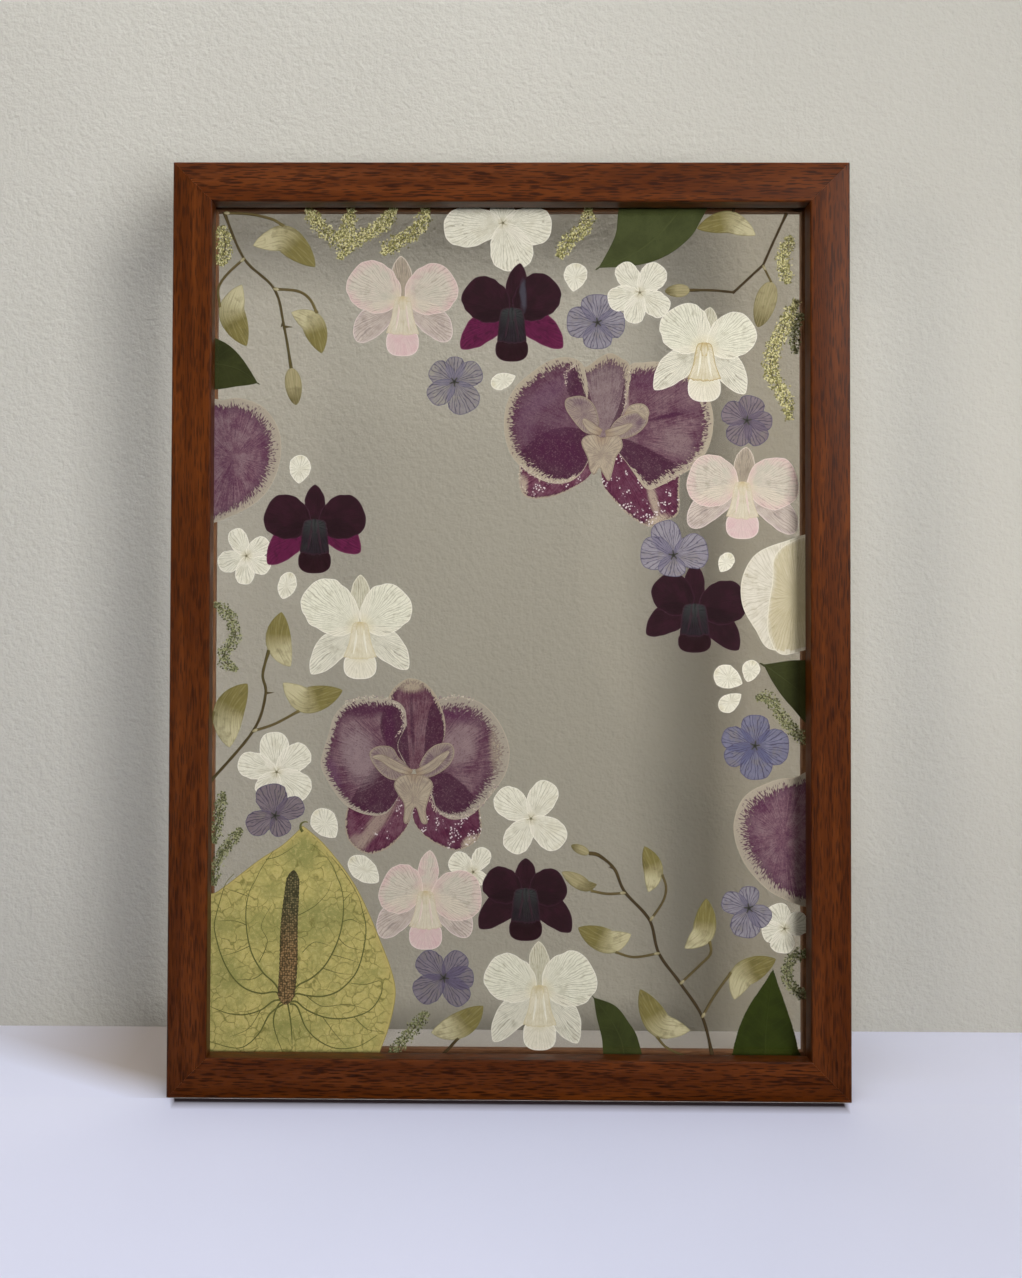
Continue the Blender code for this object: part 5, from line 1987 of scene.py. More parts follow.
@dataclass(frozen=True)
class Leaf:
    """A pressed leaf or a piece of one.

    Attributes:
        name: its CAD node.
        skins: finishes of blade and midrib.
        layer: the layer that it lies in.
        outline: its rim.
        midrib: points along its midrib from the foot to the tip, or past the glass.
        rib_mm: width of the midrib.
        tooth_mm: height of the small teeth of its edge.
    """

    name: str
    skins: tuple[Finish, Finish]
    layer: Layer
    outline: Outline
    midrib: Outline
    rib_mm: float = 0.9
    tooth_mm: float = 0.0

    def build(self) -> None:
        """Makes the blade, whose grain is (across, along) the midrib, and a low midrib on it. Its teeth are a
        sawtooth outwards from the rim."""
        rim = counterclockwise(traced(self.outline, 260, closed=True))
        if self.tooth_mm:
            teeth = self.tooth_mm * (np.arange(len(rim)) * 0.31 % 1.0)
            rim = rim + rightwards(rim) * teeth[:, None]
        spine = traced(self.midrib, 80)
        blade = sheet(rim, self.midrib[0], self.layer.depth(0.35), self.skins[0], self.name, rows=26,
                      pole=tuple(rim.mean(0)), crinkle=0.05)
        flat = (blade.points[:, [0, 2]] - (SETTING.left, SETTING.bottom)) / MM
        offset = flat[:, None] - spine
        near = np.hypot(*np.moveaxis(offset, -1, 0)).argmin(1)
        way = np.gradient(spine, axis=0)[near]
        way /= np.hypot(*way.T)[:, None]
        from_spine = flat - spine[near]
        blade.grain = np.stack([way[:, 0] * from_spine[:, 1] - way[:, 1] * from_spine[:, 0],
                                lengths(spine)[near] + (way * from_spine).sum(-1)], -1)
        half = self.rib_mm / 2 * (1 - 0.7 * np.linspace(0, 1, len(spine)))
        rib = pod(spine, half, self.layer.depth(0.42), 0.24, self.skins[1], around=8)
        Piece(self.name + "_pressed", [blade, rib]).make("pressed_leaf", self.name)


@dataclass(frozen=True)
class Bud:
    """A bud at the end of a stem.

    Attributes:
        apex: its tip.
        width: its greatest width, mm.
        spur: tip of the pale spur behind it, or None.
        skin: its finish.
    """

    apex: Flat
    width: float
    spur: Flat | None
    skin: Finish = BUD

    def surface(self, foot: Flat, layer: Layer) -> Surface:
        """The bud as one form from its apex to its spur. Its middle line bends past the foot, where the stem
        meets its outer edge, and at t its width goes as (t (1 - t))^0.85. A bud without a spur runs straight on
        from the foot, and its width goes as t^0.5 (1 - t)^0.65.

        Args:
            foot: where the stem ends.
            layer: the layer that it lies in.

        Returns:
            The closed form.
        """
        foot, apex = np.array(foot, float), np.array(self.apex, float)
        t = np.linspace(0.004, 0.996, 64)
        if self.spur is None:
            thickness, path = 0.6, traced([foot, (foot + apex) / 2, apex], len(t))
            profile = t**0.5 * (1 - t) ** 0.65
        else:
            spur = np.array(self.spur, float)
            chord = (apex + spur) / 2
            out = (foot - chord) / np.hypot(*(foot - chord))
            middle = foot - 0.46 * self.width * out
            shoulder = 0.42 * apex + 0.58 * middle + 0.07 * self.width * out
            neck = 0.5 * middle + 0.5 * spur + 0.04 * self.width * out
            thickness, path = 0.62, traced([apex, shoulder, middle, neck, spur], len(t))
            profile = t**0.85 * (1 - t) ** 0.85
        half = self.width / 2 * profile / profile.max()
        return pod(path, half, layer.depth(0.5), thickness, self.skin, around=16, flatness=0.8)


@dataclass(frozen=True)
class Sprig:
    """A stalk with side stems and buds.

    Attributes:
        name: its CAD node.
        layer: the layer that it lies in.
        skin: finish of its stems.
        stems: each as (points, width in mm, bud or None).
        thorns: short side spurs, each as two points.
    """

    name: str
    layer: Layer
    skin: Finish
    stems: tuple[tuple[Outline, float, Bud | None], ...]
    thorns: tuple[tuple[Flat, Flat], ...] = ()

    def build(self) -> None:
        """Makes stems that swell a little at each end, then buds, and a pale bract where a side stem starts."""
        surfaces = []
        for i, (points, width, bud) in enumerate(self.stems):
            path = traced(points, 12 * len(points))
            t = np.linspace(0, 1, len(path))
            knots = np.exp(-((t / 0.05) ** 2)) + 0.8 * np.exp(-(((1 - t) / 0.06) ** 2))
            half = width / 2 * (0.82 + 0.3 * knots) * (1 + 0.05 * np.sin(t * 60))
            surfaces.append(pod(path, half, self.layer.depth(0.5), 0.5, SIDE_STEM if i else self.skin, around=10))
            if bud is not None:
                surfaces.append(bud.surface(points[-1], self.layer))
        for start, end in self.thorns:
            path = evenly(np.array([start, end], float), 10)
            surfaces.append(pod(path, np.linspace(0.7, 0.15, len(path)), self.layer.depth(0.5), 0.4, self.skin,
                                around=8))
        for points, width, _ in self.stems[1:]:
            start, after = np.array(points[0], float), np.array(points[1], float)
            way = (after - start) / np.hypot(*(after - start))
            path = evenly(np.array([start - way * 0.6, start + way * 2.6]), 12)
            half = width * 0.55 * np.sin(np.linspace(0.3, math.pi - 0.1, len(path)))
            surfaces.append(pod(path, half, self.layer.depth(0.62), 0.5, BRACT, around=10))
        Piece(self.name + "_pressed", surfaces).make("pressed_bud", self.name)


@dataclass(frozen=True)
class Catkin:
    """A tassel of small bracts along a thread.

    Attributes:
        name: its CAD node, or its own name if it has none.
        layer: the layer that it lies in.
        points: its middle line.
        width: its greatest width, mm.
        skin: its finish.
        solid: True if it has a CAD node.
        bracts_per_mm2: number of grains for each square mm along it.
    """

    name: str
    layer: Layer
    points: Outline
    width: float
    skin: Finish = CATKIN
    solid: bool = True
    bracts_per_mm2: float = 3.5

    def build(self) -> None:
        """Makes the thread, and the grains beside it, a few of them astray."""
        rng = seeded(self.name)
        path = traced(self.points, 60)
        length = lengths(path)[-1]
        count = int(self.bracts_per_mm2 * length * self.width)
        at = rng.uniform(0, 1, count)
        share, slope = np.linspace(0, 1, len(path)), np.gradient(path, axis=0)
        where, way = (np.stack([np.interp(at, share, values[:, i]) for i in (0, 1)], -1) for values in (path, slope))
        way /= np.hypot(*way.T)[:, None]
        taper = np.clip(np.sin(math.pi * np.clip(at, 0.03, 0.97)) * 3, 0.5, 1)
        taper *= 0.95 + 0.14 * np.sin(at * length * 1.3)
        side = (rng.uniform(-1, 1, count) + rng.normal(0, 0.14, count)) * 0.58 * self.width * taper
        flat = where + side[:, None] * np.stack([-way[:, 1], way[:, 0]], -1)
        size = np.stack([rng.uniform(*span, count) for span in ((0.34, 0.62), (0.28, 0.46), (0.16, 0.26))], -1)
        depth = self.layer.depth(0.5) + rng.uniform(-0.1, 0.1, count)
        lean = np.arctan2(way[:, 1], way[:, 0]) + rng.normal(0, 0.9, count)
        thread = pod(path, np.full(len(path), 0.35), self.layer.depth(0.35), 0.3, STEM, around=8)
        bracts = grains(flat, depth, size, lean, self.skin, rng.uniform(0, 1, count))
        nodes = (self.name,) if self.solid else ()
        Piece(self.name + "_pressed", [thread, bracts]).make("pressed_catkin", *nodes)


@dataclass(frozen=True)
class Confetti:
    """Small loose petals too small for a solid of their own: each as (base, tip, width, power of its point)."""

    petals: tuple[tuple[Flat, Flat, float, float], ...]

    def build(self) -> None:
        """Makes them as one piece."""
        surfaces = []
        for i, (base, tip, width, point) in enumerate(self.petals):
            outline = petal(base, tip, width, 0.55, point, f"confetti{i}", count=64)
            surfaces.append(sheet(outline, base, Layer.FRONT.depth(0.3), CONFETTI, f"confetti{i}",
                                  pole=tuple(np.add(base, tip) / 2)))
        Piece("loose_petals_pressed", surfaces).make("pressed_white_petal")


# --- what lies where ---------------------------------------------------------------------------------

PINK_SLOT, WHITE_SLOT, PLUM_SLOT, LILAC_SLOT = (f"pressed_{c}_petal" for c in ("pink", "white", "plum", "lilac"))
PURPLE_SLOT = "pressed_purple_petal"

BROAD_TUBE = (4.2, 6.0, 6.6, 7.2)
DENDROBIUMS = (
    Dendrobium("pink_orchid_top", PINK, PINK_SLOT, Layer.FRONT, (91.5, 364.5), (-1, 23),
               ((-27, 8, 12), (26.5, 6.5, 12)), ((-23, -18.5), (23.5, -18)), 26.5, 0.5),
    Dendrobium("pink_orchid_right", PINK, PINK_SLOT, Layer.FRONT, (257.5, 274), (2, 20),
               ((-26.5, 3, 12.5), (27, 2, 12.5)), ((-26, -18.5), (26, -21.5)), 25, 0.5),
    Dendrobium("pink_orchid_bottom", (PINK[1], *PINK[1:]), PINK_SLOT, Layer.FRONT, (104, 74.5), (2, 22.5),
               ((-22, 2.5, 12), (27, 0.5, 12)), ((-22.5, -19), (21.5, -18.5)), 25.5, 0.5),
    Dendrobium("white_orchid_top", GILT, WHITE_SLOT, Layer.FRONT, (239, 342), (3, 20.5),
               ((-21, 9.5, 12), (25, 7, 10.5)), ((-24.5, -20), (20, -22)), 26, 0.72),
    Dendrobium("white_orchid_middle", WHITE, WHITE_SLOT, Layer.FRONT, (71.5, 205), (0, 26),
               ((-28.5, 11.5, 12), (24.5, 9.5, 11.5)), ((-24, -22.5), (23.5, -20)), 25),
    Dendrobium("white_orchid_bottom", WHITE, WHITE_SLOT, Layer.BACK, (159.5, 29), (-0.5, 24),
               ((-26.5, 6.5, 11), (27, 5.5, 13)), ((-22.5, -24.5), (18.5, -25)), 28.5),
    Dendrobium("plum_orchid_top", CRIMSON, PLUM_SLOT, Layer.FRONT, (145, 359), (4, 25),
               ((-24, 7.5, 10.5), (23.5, 9, 10.5)), ((-25, -17), (25, -16.5)), 23.5, tube=BROAD_TUBE),
    Dendrobium("plum_orchid_left", CRIMSON, PLUM_SLOT, Layer.FRONT, (49, 255), (0, 20),
               ((-24.5, 4, 10.5), (24.5, 4, 10.5)), ((-23, -19), (22.5, -13)), 23.5, tube=BROAD_TUBE),
    Dendrobium("plum_orchid_right", PLUM, PLUM_SLOT, Layer.BACK, (234.5, 214.5), (0, 22.5),
               ((-20.5, 8, 9.5), (25, 3.5, 10.5)), ((-23.5, -12), (21.5, -19.5)), 21, tube=BROAD_TUBE),
    Dendrobium("plum_orchid_bottom", PLUM, PLUM_SLOT, Layer.FRONT, (152.5, 76), (0, 17.5),
               ((-20.5, 4.5, 8.5), (19.5, 3, 9)), ((-22.5, -16.5), (22, -18)), 22.5, tube=BROAD_TUBE),
)

MOTH_ORCHIDS = (
    MothOrchid("moth_orchid_upper", (189.5, 299.5), tepals=(
        (MOTH_SEPAL, ((149, 283.5), (149, 276), (151, 270.5), (156, 268.5), (165, 269.5), (173.5, 273),
                      (182.5, 279), (188, 290), (184, 301), (170, 303.5), (158, 299), (150, 291))),
        (MOTH_DUSTED, ((189, 281), (190, 275), (193.5, 270), (202, 261), (212.5, 255), (220, 258), (226.5, 261.5),
                       (227, 271.5), (226, 284), (214, 292), (200, 298), (191, 296), (188.5, 288))),
        (MOTH_UPPER, ((202, 333), (210, 335.5), (219.5, 335.5), (230, 331.5), (239, 323), (243, 313), (243.5, 303),
                      (240.5, 292), (233.5, 284), (227, 280), (219, 275.5), (211, 273.5), (204, 283), (193, 297),
                      (193, 303), (198, 315))),
        (MOTH_DORSAL_UPPER, ((174, 331), (182, 333.5), (187.5, 337.5), (193, 340), (198, 338), (203, 332.5),
                             (200, 312), (191.5, 298), (187, 298), (179, 311), (172, 322))),
        (MOTH_UPPER, ((180.5, 333), (176.5, 337), (170, 338), (163, 336), (155.5, 331), (147.5, 324), (143, 316),
                      (141.5, 308), (142, 298.5), (145.5, 289), (153, 281.5), (163, 276.5), (172.5, 276.5),
                      (179.5, 281.5), (184, 290), (188, 299.5), (183, 312), (181.5, 323))),
    ), lobes=(
        (MOTH_EAR, ((172.5, 317.5), (179.5, 318.5), (185, 314.5), (187.5, 306.5), (186.5, 301), (180.5, 301.5),
                    (174, 309), (171.5, 314))),
        (MOTH_EAR, ((193, 301.5), (196.5, 307), (202, 310), (208.5, 311), (211.5, 307.5), (208, 302),
                    (201.5, 298.5), (196, 298.5))),
        (MOTH_LIP, ((200, 309.5), (203, 314), (209, 314.8), (212, 311.5), (210.5, 307.5), (206, 311),
                    (203, 310.5))),
        (MOTH_LIP, ((179.5, 295.5), (181, 298.8), (185.5, 300), (189.5, 298.5), (194, 300), (198, 298.5),
                    (199, 294), (196, 289), (194, 281.5), (192.5, 277.5), (190, 281), (188, 284), (185.5, 280.5),
                    (183.5, 283), (182.5, 288.5))),
    ), fringes=(
        ((149, 285), (155, 280.5), (163, 277), (170, 276.5), (176, 280)),
        ((150, 283), (149.5, 277), (152, 271.5)),
        ((236, 289), (229, 282), (221, 277)),
        ((172, 325), (171.5, 330), (176, 334)),
        ((202, 304), (200.5, 313), (201, 322), (203, 331)),
    ), arms=(
        ((189, 301), (184.5, 303), (180, 307.5)),
        ((191, 300.5), (198, 302), (204, 305)),
    )),
    MothOrchid("moth_orchid_lower", (98, 135), tepals=(
        (MOTH_SEPAL, ((76, 133.5), (70, 125.5), (65.5, 117), (64.5, 109), (66, 102), (71.5, 96.5), (78, 95),
                      (86.5, 98.5), (93, 105.5), (96.5, 113), (96, 124), (96, 134), (87, 139), (81, 138))),
        (MOTH_DUSTED, ((97.5, 112.5), (103, 104), (110, 99.5), (118, 97), (125, 99), (130, 103.5), (131, 110.5),
                       (128.5, 121), (121, 130), (111, 136), (101, 136), (99.5, 124))),
        (MOTH_LOWER_RIGHT, ((107, 168.5), (117.5, 171.5), (127.5, 170), (134.5, 165.5), (140.5, 157.5), (144, 149),
                            (144.5, 142), (142.5, 134), (137, 125.5), (130, 117.5), (124, 113), (116, 112),
                            (109.5, 116), (106.5, 124), (102, 134), (103, 146), (104, 158))),
        (MOTH_DORSAL_LOWER, ((84.5, 169), (87.5, 175), (92, 179), (96.5, 180.5), (102.5, 178.5), (107, 174.5),
                             (110.5, 168), (113, 160), (112.5, 151), (107, 141.5), (98, 136), (90, 141), (83, 150),
                             (81.5, 160))),
        (MOTH_LOWER, ((88.5, 169.5), (78.5, 170.5), (70, 170), (63, 167), (58.5, 161), (56.5, 154), (52.5, 139.5),
                      (55, 132), (59.5, 124.5), (65.5, 118), (75, 114), (84, 114.5), (90, 122), (95.5, 134),
                      (90, 147), (93.5, 157), (93.5, 165))),
    ), lobes=(
        (MOTH_EAR, ((76.5, 143.5), (80.5, 147), (87, 146.5), (90.5, 141.5), (95.5, 137), (93.5, 132), (86.5, 131.5),
                    (80.5, 136))),
        (MOTH_EAR, ((100.5, 137), (104, 144), (109, 148), (115.5, 148.5), (117.3, 144), (114.5, 138), (108, 133.5),
                    (102, 132.3))),
        (MOTH_LIP, ((88.5, 128.5), (91, 132.5), (97.5, 134), (103.5, 132.5), (107, 129), (105, 122), (103.5, 116),
                    (104.5, 110.5), (102, 110.5), (99.5, 117.5), (97.5, 117), (95, 110.5), (93.3, 111), (93.5, 119),
                    (90.5, 124))),
    ), fringes=(
        ((107, 128), (106.5, 121), (110, 115.5), (117, 113.5), (125, 114.5), (130, 119)),
        ((64, 168.5), (72, 171), (80, 171.5), (87, 170)),
        ((88, 169), (92, 164), (92.5, 157), (89, 152)),
        ((131, 119), (135, 124), (138, 129)),
        ((108, 170), (118, 172), (127, 170.5)),
    ), arms=(
        ((97, 134.5), (89.5, 137.5), (82.5, 141.5), (78, 142)),
        ((99, 134.5), (105.5, 137), (111, 141.5), (115, 145)),
    )),
)

FLORETS = (
    Floret("white_floret_top", HYDRANGEA_WHITE, WHITE_SLOT, Layer.BACK, (140.5, 404),
           ((92, 10, 12), (186, 29, 19), (-5, 24, 18), (-72, 24, 20))),
    Floret("white_floret_upper_right", HYDRANGEA_WHITE, WHITE_SLOT, Layer.FRONT, (207.5, 369.5),
           ((124, 17, 11), (51, 17, 12.5), (197, 16, 12), (-35, 16.5, 12), (-105, 15.5, 10))),
    Floret("white_floret_left", HYDRANGEA_WHITE, WHITE_SLOT, Layer.BACK, (15.5, 240),
           ((198, 14.5, 10), (265, 14, 9), (-31, 13, 9.5), (117, 14.5, 9), (35, 13, 9))),
    Floret("white_floret_lower_left", HYDRANGEA_WHITE, WHITE_SLOT, Layer.BACK, (31, 134.5),
           ((96, 19.5, 14), (37, 19, 13), (165, 19.5, 12.5), (-36, 19, 14), (240, 14, 12))),
    Floret("white_floret_centre", HYDRANGEA_WHITE, WHITE_SLOT, Layer.BACK, (155, 112.5),
           ((143, 20.5, 14.5), (61, 20, 13.5), (237, 19, 13), (-38, 20, 14.5))),
    Floret("white_floret_right", HYDRANGEA_WHITE, WHITE_SLOT, Layer.BACK, (278, 60),
           ((112, 12.5, 11), (195, 11, 10), (262, 12, 11), (20, 12, 11))),
    Floret("white_floret_small", HYDRANGEA_WHITE, WHITE_SLOT, Layer.BACK, (127, 86.5),
           ((148, 13, 10.5), (60, 13, 8.5), (-40, 8, 6)), solid=False),
    Floret("lilac_floret_top", LILAC, LILAC_SLOT, Layer.BACK, (187, 355),
           ((178, 15, 15), (90, 14, 15.5), (-3, 13.5, 13.5), (-90, 13, 14))),
    Floret("lilac_floret_middle", PALE_LILAC, LILAC_SLOT, Layer.FRONT, (117, 325.5),
           ((88, 12.5, 9), (147, 13.5, 11.5), (27, 14.5, 12), (-63, 16.5, 15.5), (217, 15, 11.5))),
    Floret("lilac_floret_upper_right", MAUVE, LILAC_SLOT, Layer.BACK, (260, 307),
           ((73, 12.5, 12.5), (-2, 12.5, 9.5), (-54, 13.5, 11), (239, 13, 12), (152, 13, 11.5))),
    Floret("lilac_floret_right", LILAC, LILAC_SLOT, Layer.FRONT, (224, 241),
           ((110, 17.5, 14), (174, 16, 16), (11, 17, 16.5), (263, 10.5, 13))),
    Floret("blue_floret_right", BLUE, LILAC_SLOT, Layer.FRONT, (263.5, 148.5),
           ((88, 15, 13.5), (162, 16.5, 11.5), (207, 16, 10.5), (273, 16.5, 15), (-3, 16.5, 17))),
    Floret("lilac_floret_lower_right", LILAC, LILAC_SLOT, Layer.FRONT, (260.5, 70),
           ((88, 10.5, 9.5), (162, 13.5, 10.5), (259, 14.5, 14), (-34, 12, 10.5))),
    Floret("lilac_floret_bottom", GREY_LILAC, LILAC_SLOT, Layer.FRONT, (113, 35.5),
           ((137, 16, 12.5), (51, 15, 11), (0, 14.5, 11), (-49, 16, 12), (215, 16.5, 13.5))),
    Floret("lilac_floret_left", MAUVE, LILAC_SLOT, Layer.FRONT, (30.5, 113.5),
           ((102, 15.5, 15), (205, 15, 11.5), (24, 15, 10.5), (-65, 10.5, 10))),
)

LOOSE_PETALS = (
    LoosePetal("moth_petal_left", MOTH_LOOSE, PURPLE_SLOT, Layer.BACK, (-10, 287),
               ((-6, 314), (4, 316.5), (12, 317.5), (24, 312.5), (31.5, 300), (31, 284), (24, 270), (11, 261),
                (-6, 257), (-9, 280))),
    LoosePetal("moth_petal_right", MOTH_LOOSE, PURPLE_SLOT, Layer.BACK, (300, 103),
               ((293, 134), (283, 133), (273, 131.5), (259, 124), (253.5, 110.5), (256, 97), (263, 85.5),
                (275, 75.5), (293, 72), (296, 100))),
    LoosePetal("cream_petal_right", CREAM, WHITE_SLOT, Layer.FRONT, (300, 222),
               ((293, 250), (277, 247.5), (264, 241.5), (257.5, 230), (257.5, 217), (263.5, 205.5), (272, 195),
                (293, 200), (295, 225)),
               fold=((300, 215), ((293, 249), (280, 247), (273, 240), (272, 228), (270, 215), (270, 203),
                                  (275, 193.5), (284, 194), (293, 200), (295, 225)))),
)

ANTHURIUM = Anthurium(
    outline=((44, 108.5), (44, 108.5), (54, 100), (65.5, 86), (73.5, 72.5), (82, 53), (88, 37), (89.5, 26),
             (86.5, 11.5), (82, -1), (80, -8), (40, -8), (-8, -8), (-8, 30), (-8, 70), (2, 76), (12, 83.5), (23, 92),
             (34.5, 99.5)),
    root=(36, 22),
    veins=(
        ((35, 25), (30.5, 32), (25, 37), (20, 45), (17.8, 52), (16.6, 60), (16.5, 68), (18, 76), (21, 82),
         (24, 88), (29.5, 96)),
        ((38, 26), (42, 31), (48.3, 34.4), (54, 39.4), (58.3, 46), (61.7, 54), (63.5, 62), (64, 70.6), (63, 78),
         (60.6, 84), (58.3, 89.4), (54, 95), (48.3, 99.4)),
        ((36, 25), (31, 27.8), (24, 27), (17, 29), (11.7, 33), (7.2, 39.4), (3.9, 47), (1.7, 55), (1, 60), (2.2, 66),
         (4.4, 74), (6.7, 80.6), (10.6, 85)),
        ((37, 24), (41, 27), (47, 26), (54, 25.8), (60.6, 27.8), (66, 32), (70.6, 38), (73.3, 46), (74.8, 55),
         (74.8, 61), (73.3, 67), (71.7, 73), (68.3, 79.4), (64, 86), (58.3, 93)),
        ((37, 22.5), (41, 23.3), (46, 19.4), (54, 16), (61.7, 15), (69.4, 16), (76.7, 19), (81, 24), (83, 29.4),
         (82, 33.5), (75, 31.7), (67.8, 32.2)),
        ((35, 24), (30, 23.3), (24, 19), (16, 16.7), (8.3, 17.2), (0.6, 20), (-3, 22)),
        ((35, 23), (32.8, 22), (30.6, 17), (30.3, 11.7), (32.2, 5), (34, 0.6), (35, -3)),
        ((35, 22), (28.3, 17), (22.8, 7.2), (14, 0.6), (1.7, 2.8), (-3, 5)),
        ((38, 22), (41.7, 20.6), (46, 10.6), (52.8, 4), (61.7, 0.6), (72, 2), (80.6, 7.2)),
        ((37, 22.5), (38.5, 14), (39.2, 6), (39.4, -3)),
        ((41, 64.5), (45, 66.5), (50.6, 70), (56, 76), (58.3, 81.7)),
        ((63.5, 62), (68, 63), (74, 60)), ((61.7, 54), (66, 50), (73.5, 48)), ((54, 39.4), (62, 37), (69, 36.5)),
        ((64, 72), (68, 76), (71, 75)), ((58.3, 46), (66, 44), (72, 42)),
        ((17, 60), (11, 62), (3, 62)), ((18.5, 50), (12, 47), (5, 45)), ((17.5, 74), (12, 76), (6, 78)),
        ((25, 37), (20, 34), (12, 33.5)), ((54, 16), (60, 8), (66, 1.5)), ((69.4, 16), (76, 10), (84, 9)),
        ((24, 19), (18, 10), (9, 6)), ((46, 26), (54, 21), (66, 22), (76, 19.5)),
        ((26, 92), (33, 94), (42, 100)), ((44, 47), (50, 52), (58, 50)), ((23, 42), (27, 52), (24, 60), (29, 70)),
    ),
    tail=((43.8, 105.5), (42.8, 107.5), (43.2, 109.6), (45, 110.4), (46.4, 110.1)),
    spadix=((35.9, 22), (37.4, 40), (37.7, 60), (39, 78), (39.8, 87)),
)

LEAVES = (
    Leaf("leaf_left", SHADED_LEAF, Layer.BACK,
         ((-6, 346), (3, 345.5), (12, 338), (20.5, 325), (20.5, 325), (12, 323.5), (-6, 323.5)),
         ((-4, 335), (10, 332), (20, 325.5))),
    Leaf("leaf_right", SHADED_LEAF, Layer.BACK,
         ((268, 188), (268, 188), (293, 188), (293, 158), (281, 168), (273, 178.5)),
         ((268.5, 187.5), (279, 180), (290, 171))),
    Leaf("leaf_top", BRIGHT_LEAF, Layer.BACK,
         ((202, 418), (195.5, 397.5), (187.5, 382), (187.5, 382), (204.5, 383), (217.5, 386.5), (228, 393),
          (236, 402.5), (239, 418)),
         ((230, 414), (216, 397.5), (203, 388), (189, 382.5)), rib_mm=1.1),
    Leaf("leaf_bottom", DULL_LEAF, Layer.FRONT,
         ((185.5, 26.5), (185.5, 26.5), (196, 22.5), (202.5, 14.5), (207, 6.5), (208.5, -8), (192.5, -8),
          (189.5, 7), (187, 17)),
         ((200.5, -4), (199, 5.5), (194, 15.5), (186, 26)), rib_mm=0.6),
    Leaf("leaf_bottom_right", DEEP_LEAF, Layer.BACK,
         ((272.5, 40), (272.5, 40), (275.5, 31), (278, 24), (280.5, 16.5), (282.8, 9), (284.3, 2), (285.5, -8),
          (253, -8), (253.4, 1), (255, 8), (257.2, 14.5), (260, 20.5), (263.3, 26), (267.5, 32)),
         ((268.5, -4), (269, 11), (270.5, 25.5), (272.5, 39)), rib_mm=0.8, tooth_mm=0.35),
)

SPRIGS = (
    Sprig("bud_sprig_top_left", Layer.FRONT, STEM, (
        (((3.5, 409), (13.5, 386), (28.5, 371), (33.5, 352), (37, 332)), 1.6, Bud((39.5, 314), 8.2, None, BUD_PLAIN)),
        (((4, 408.5), (16, 408), (27, 405.5), (33, 402)), 1.7, Bud((48.5, 382), 13.5, (18, 392.5))),
        (((13.5, 386), (5, 378), (1, 371), (2, 362)), 1.6, Bud((15, 343), 13, (12.5, 373))),
        (((28.5, 371), (40, 370), (46, 366), (49.5, 359)), 1.7, Bud((52, 339.5), 11.5, (37, 359.5))),
    ), thorns=(((33.5, 352.5), (37.5, 352.3)), ((32.8, 354), (31.8, 352.2)))),
    Sprig("bud_twig_top_right", Layer.BACK, DARK_STEM, (
        (((279.5, 409), (274, 397), (268, 383.5), (268, 383.5), (260, 376), (253.5, 370), (253.5, 370), (243, 371),
          (232, 371)),
         1.5, Bud((220, 370.5), 6.5, None, BUD_PLAIN)),
        (((268, 383), (272, 375)), 1.3, Bud((265.5, 353), 10.5, None, BUD_PLAIN)),
    )),
    Sprig("bud_sprig_left", Layer.FRONT, STEM, (
        (((-2, 129), (19.5, 154.5), (25.5, 172.5), (24, 182), (27, 194)), 1.7, Bud((33, 212.5), 12.5, (37.5, 186))),
        (((19.5, 154.5), (30, 158), (42, 164.5)), 1.6, Bud((63, 174.5), 13, (34, 178))),
        (((-2, 129), (-2.4, 148), (0.5, 164)), 1.5, Bud((16.5, 177.5), 15, (8, 146.5))),
    ), thorns=(((25.3, 173), (29.5, 173.3)),)),
    Sprig("bud_sprig_bottom_right", Layer.FRONT, DARK_STEM, (
        (((243, -2), (238, 17.5), (227.5, 33.5), (217, 48), (212.5, 64), (200.5, 77.5), (195.5, 88.5), (188, 95),
          (183, 96)), 1.8, Bud((174.5, 99.8), 4.6, None, BUD_PLAIN)),
        (((200.5, 77), (192, 76.5), (184, 78)), 1.6, Bud((170, 87), 7, (187, 81), BUD_PLAIN)),
        (((213, 64), (219, 73), (220.5, 80), (218.5, 86)), 1.5, Bud((210, 99.5), 9.5, (212, 77.5))),
        (((217, 48), (205, 46), (196, 48.5)), 1.5, Bud((178, 60), 12, (203.5, 57))),
        (((227.5, 33.5), (237, 42.5), (242, 48), (241.5, 54)), 1.6, Bud((240, 74.5), 11, (229.5, 50.5))),
        (((238, 17.5), (244, 28), (252, 39)), 1.7, Bud((273.5, 45.5), 12.5, (253.5, 26))),
        (((242, -2), (231, -1.5), (221, 2.5), (216, 8)), 1.5, Bud((208, 30.5), 12.5, (232, 11))),
    ), thorns=(((195.2, 89), (192.6, 89.4)),)),
    Sprig("bud_top_right", Layer.FRONT, DARK_STEM, (
        (((254, 413), (253, 409)), 1.6, Bud((235.5, 401), 11, (264, 397.8))),
    )),
    Sprig("bud_bottom", Layer.FRONT, DARK_STEM, (
        (((112, -2), (116, 2), (120, 6.5)), 1.8, Bud((132, 22), 12.5, (107, 9))),
    )),
)

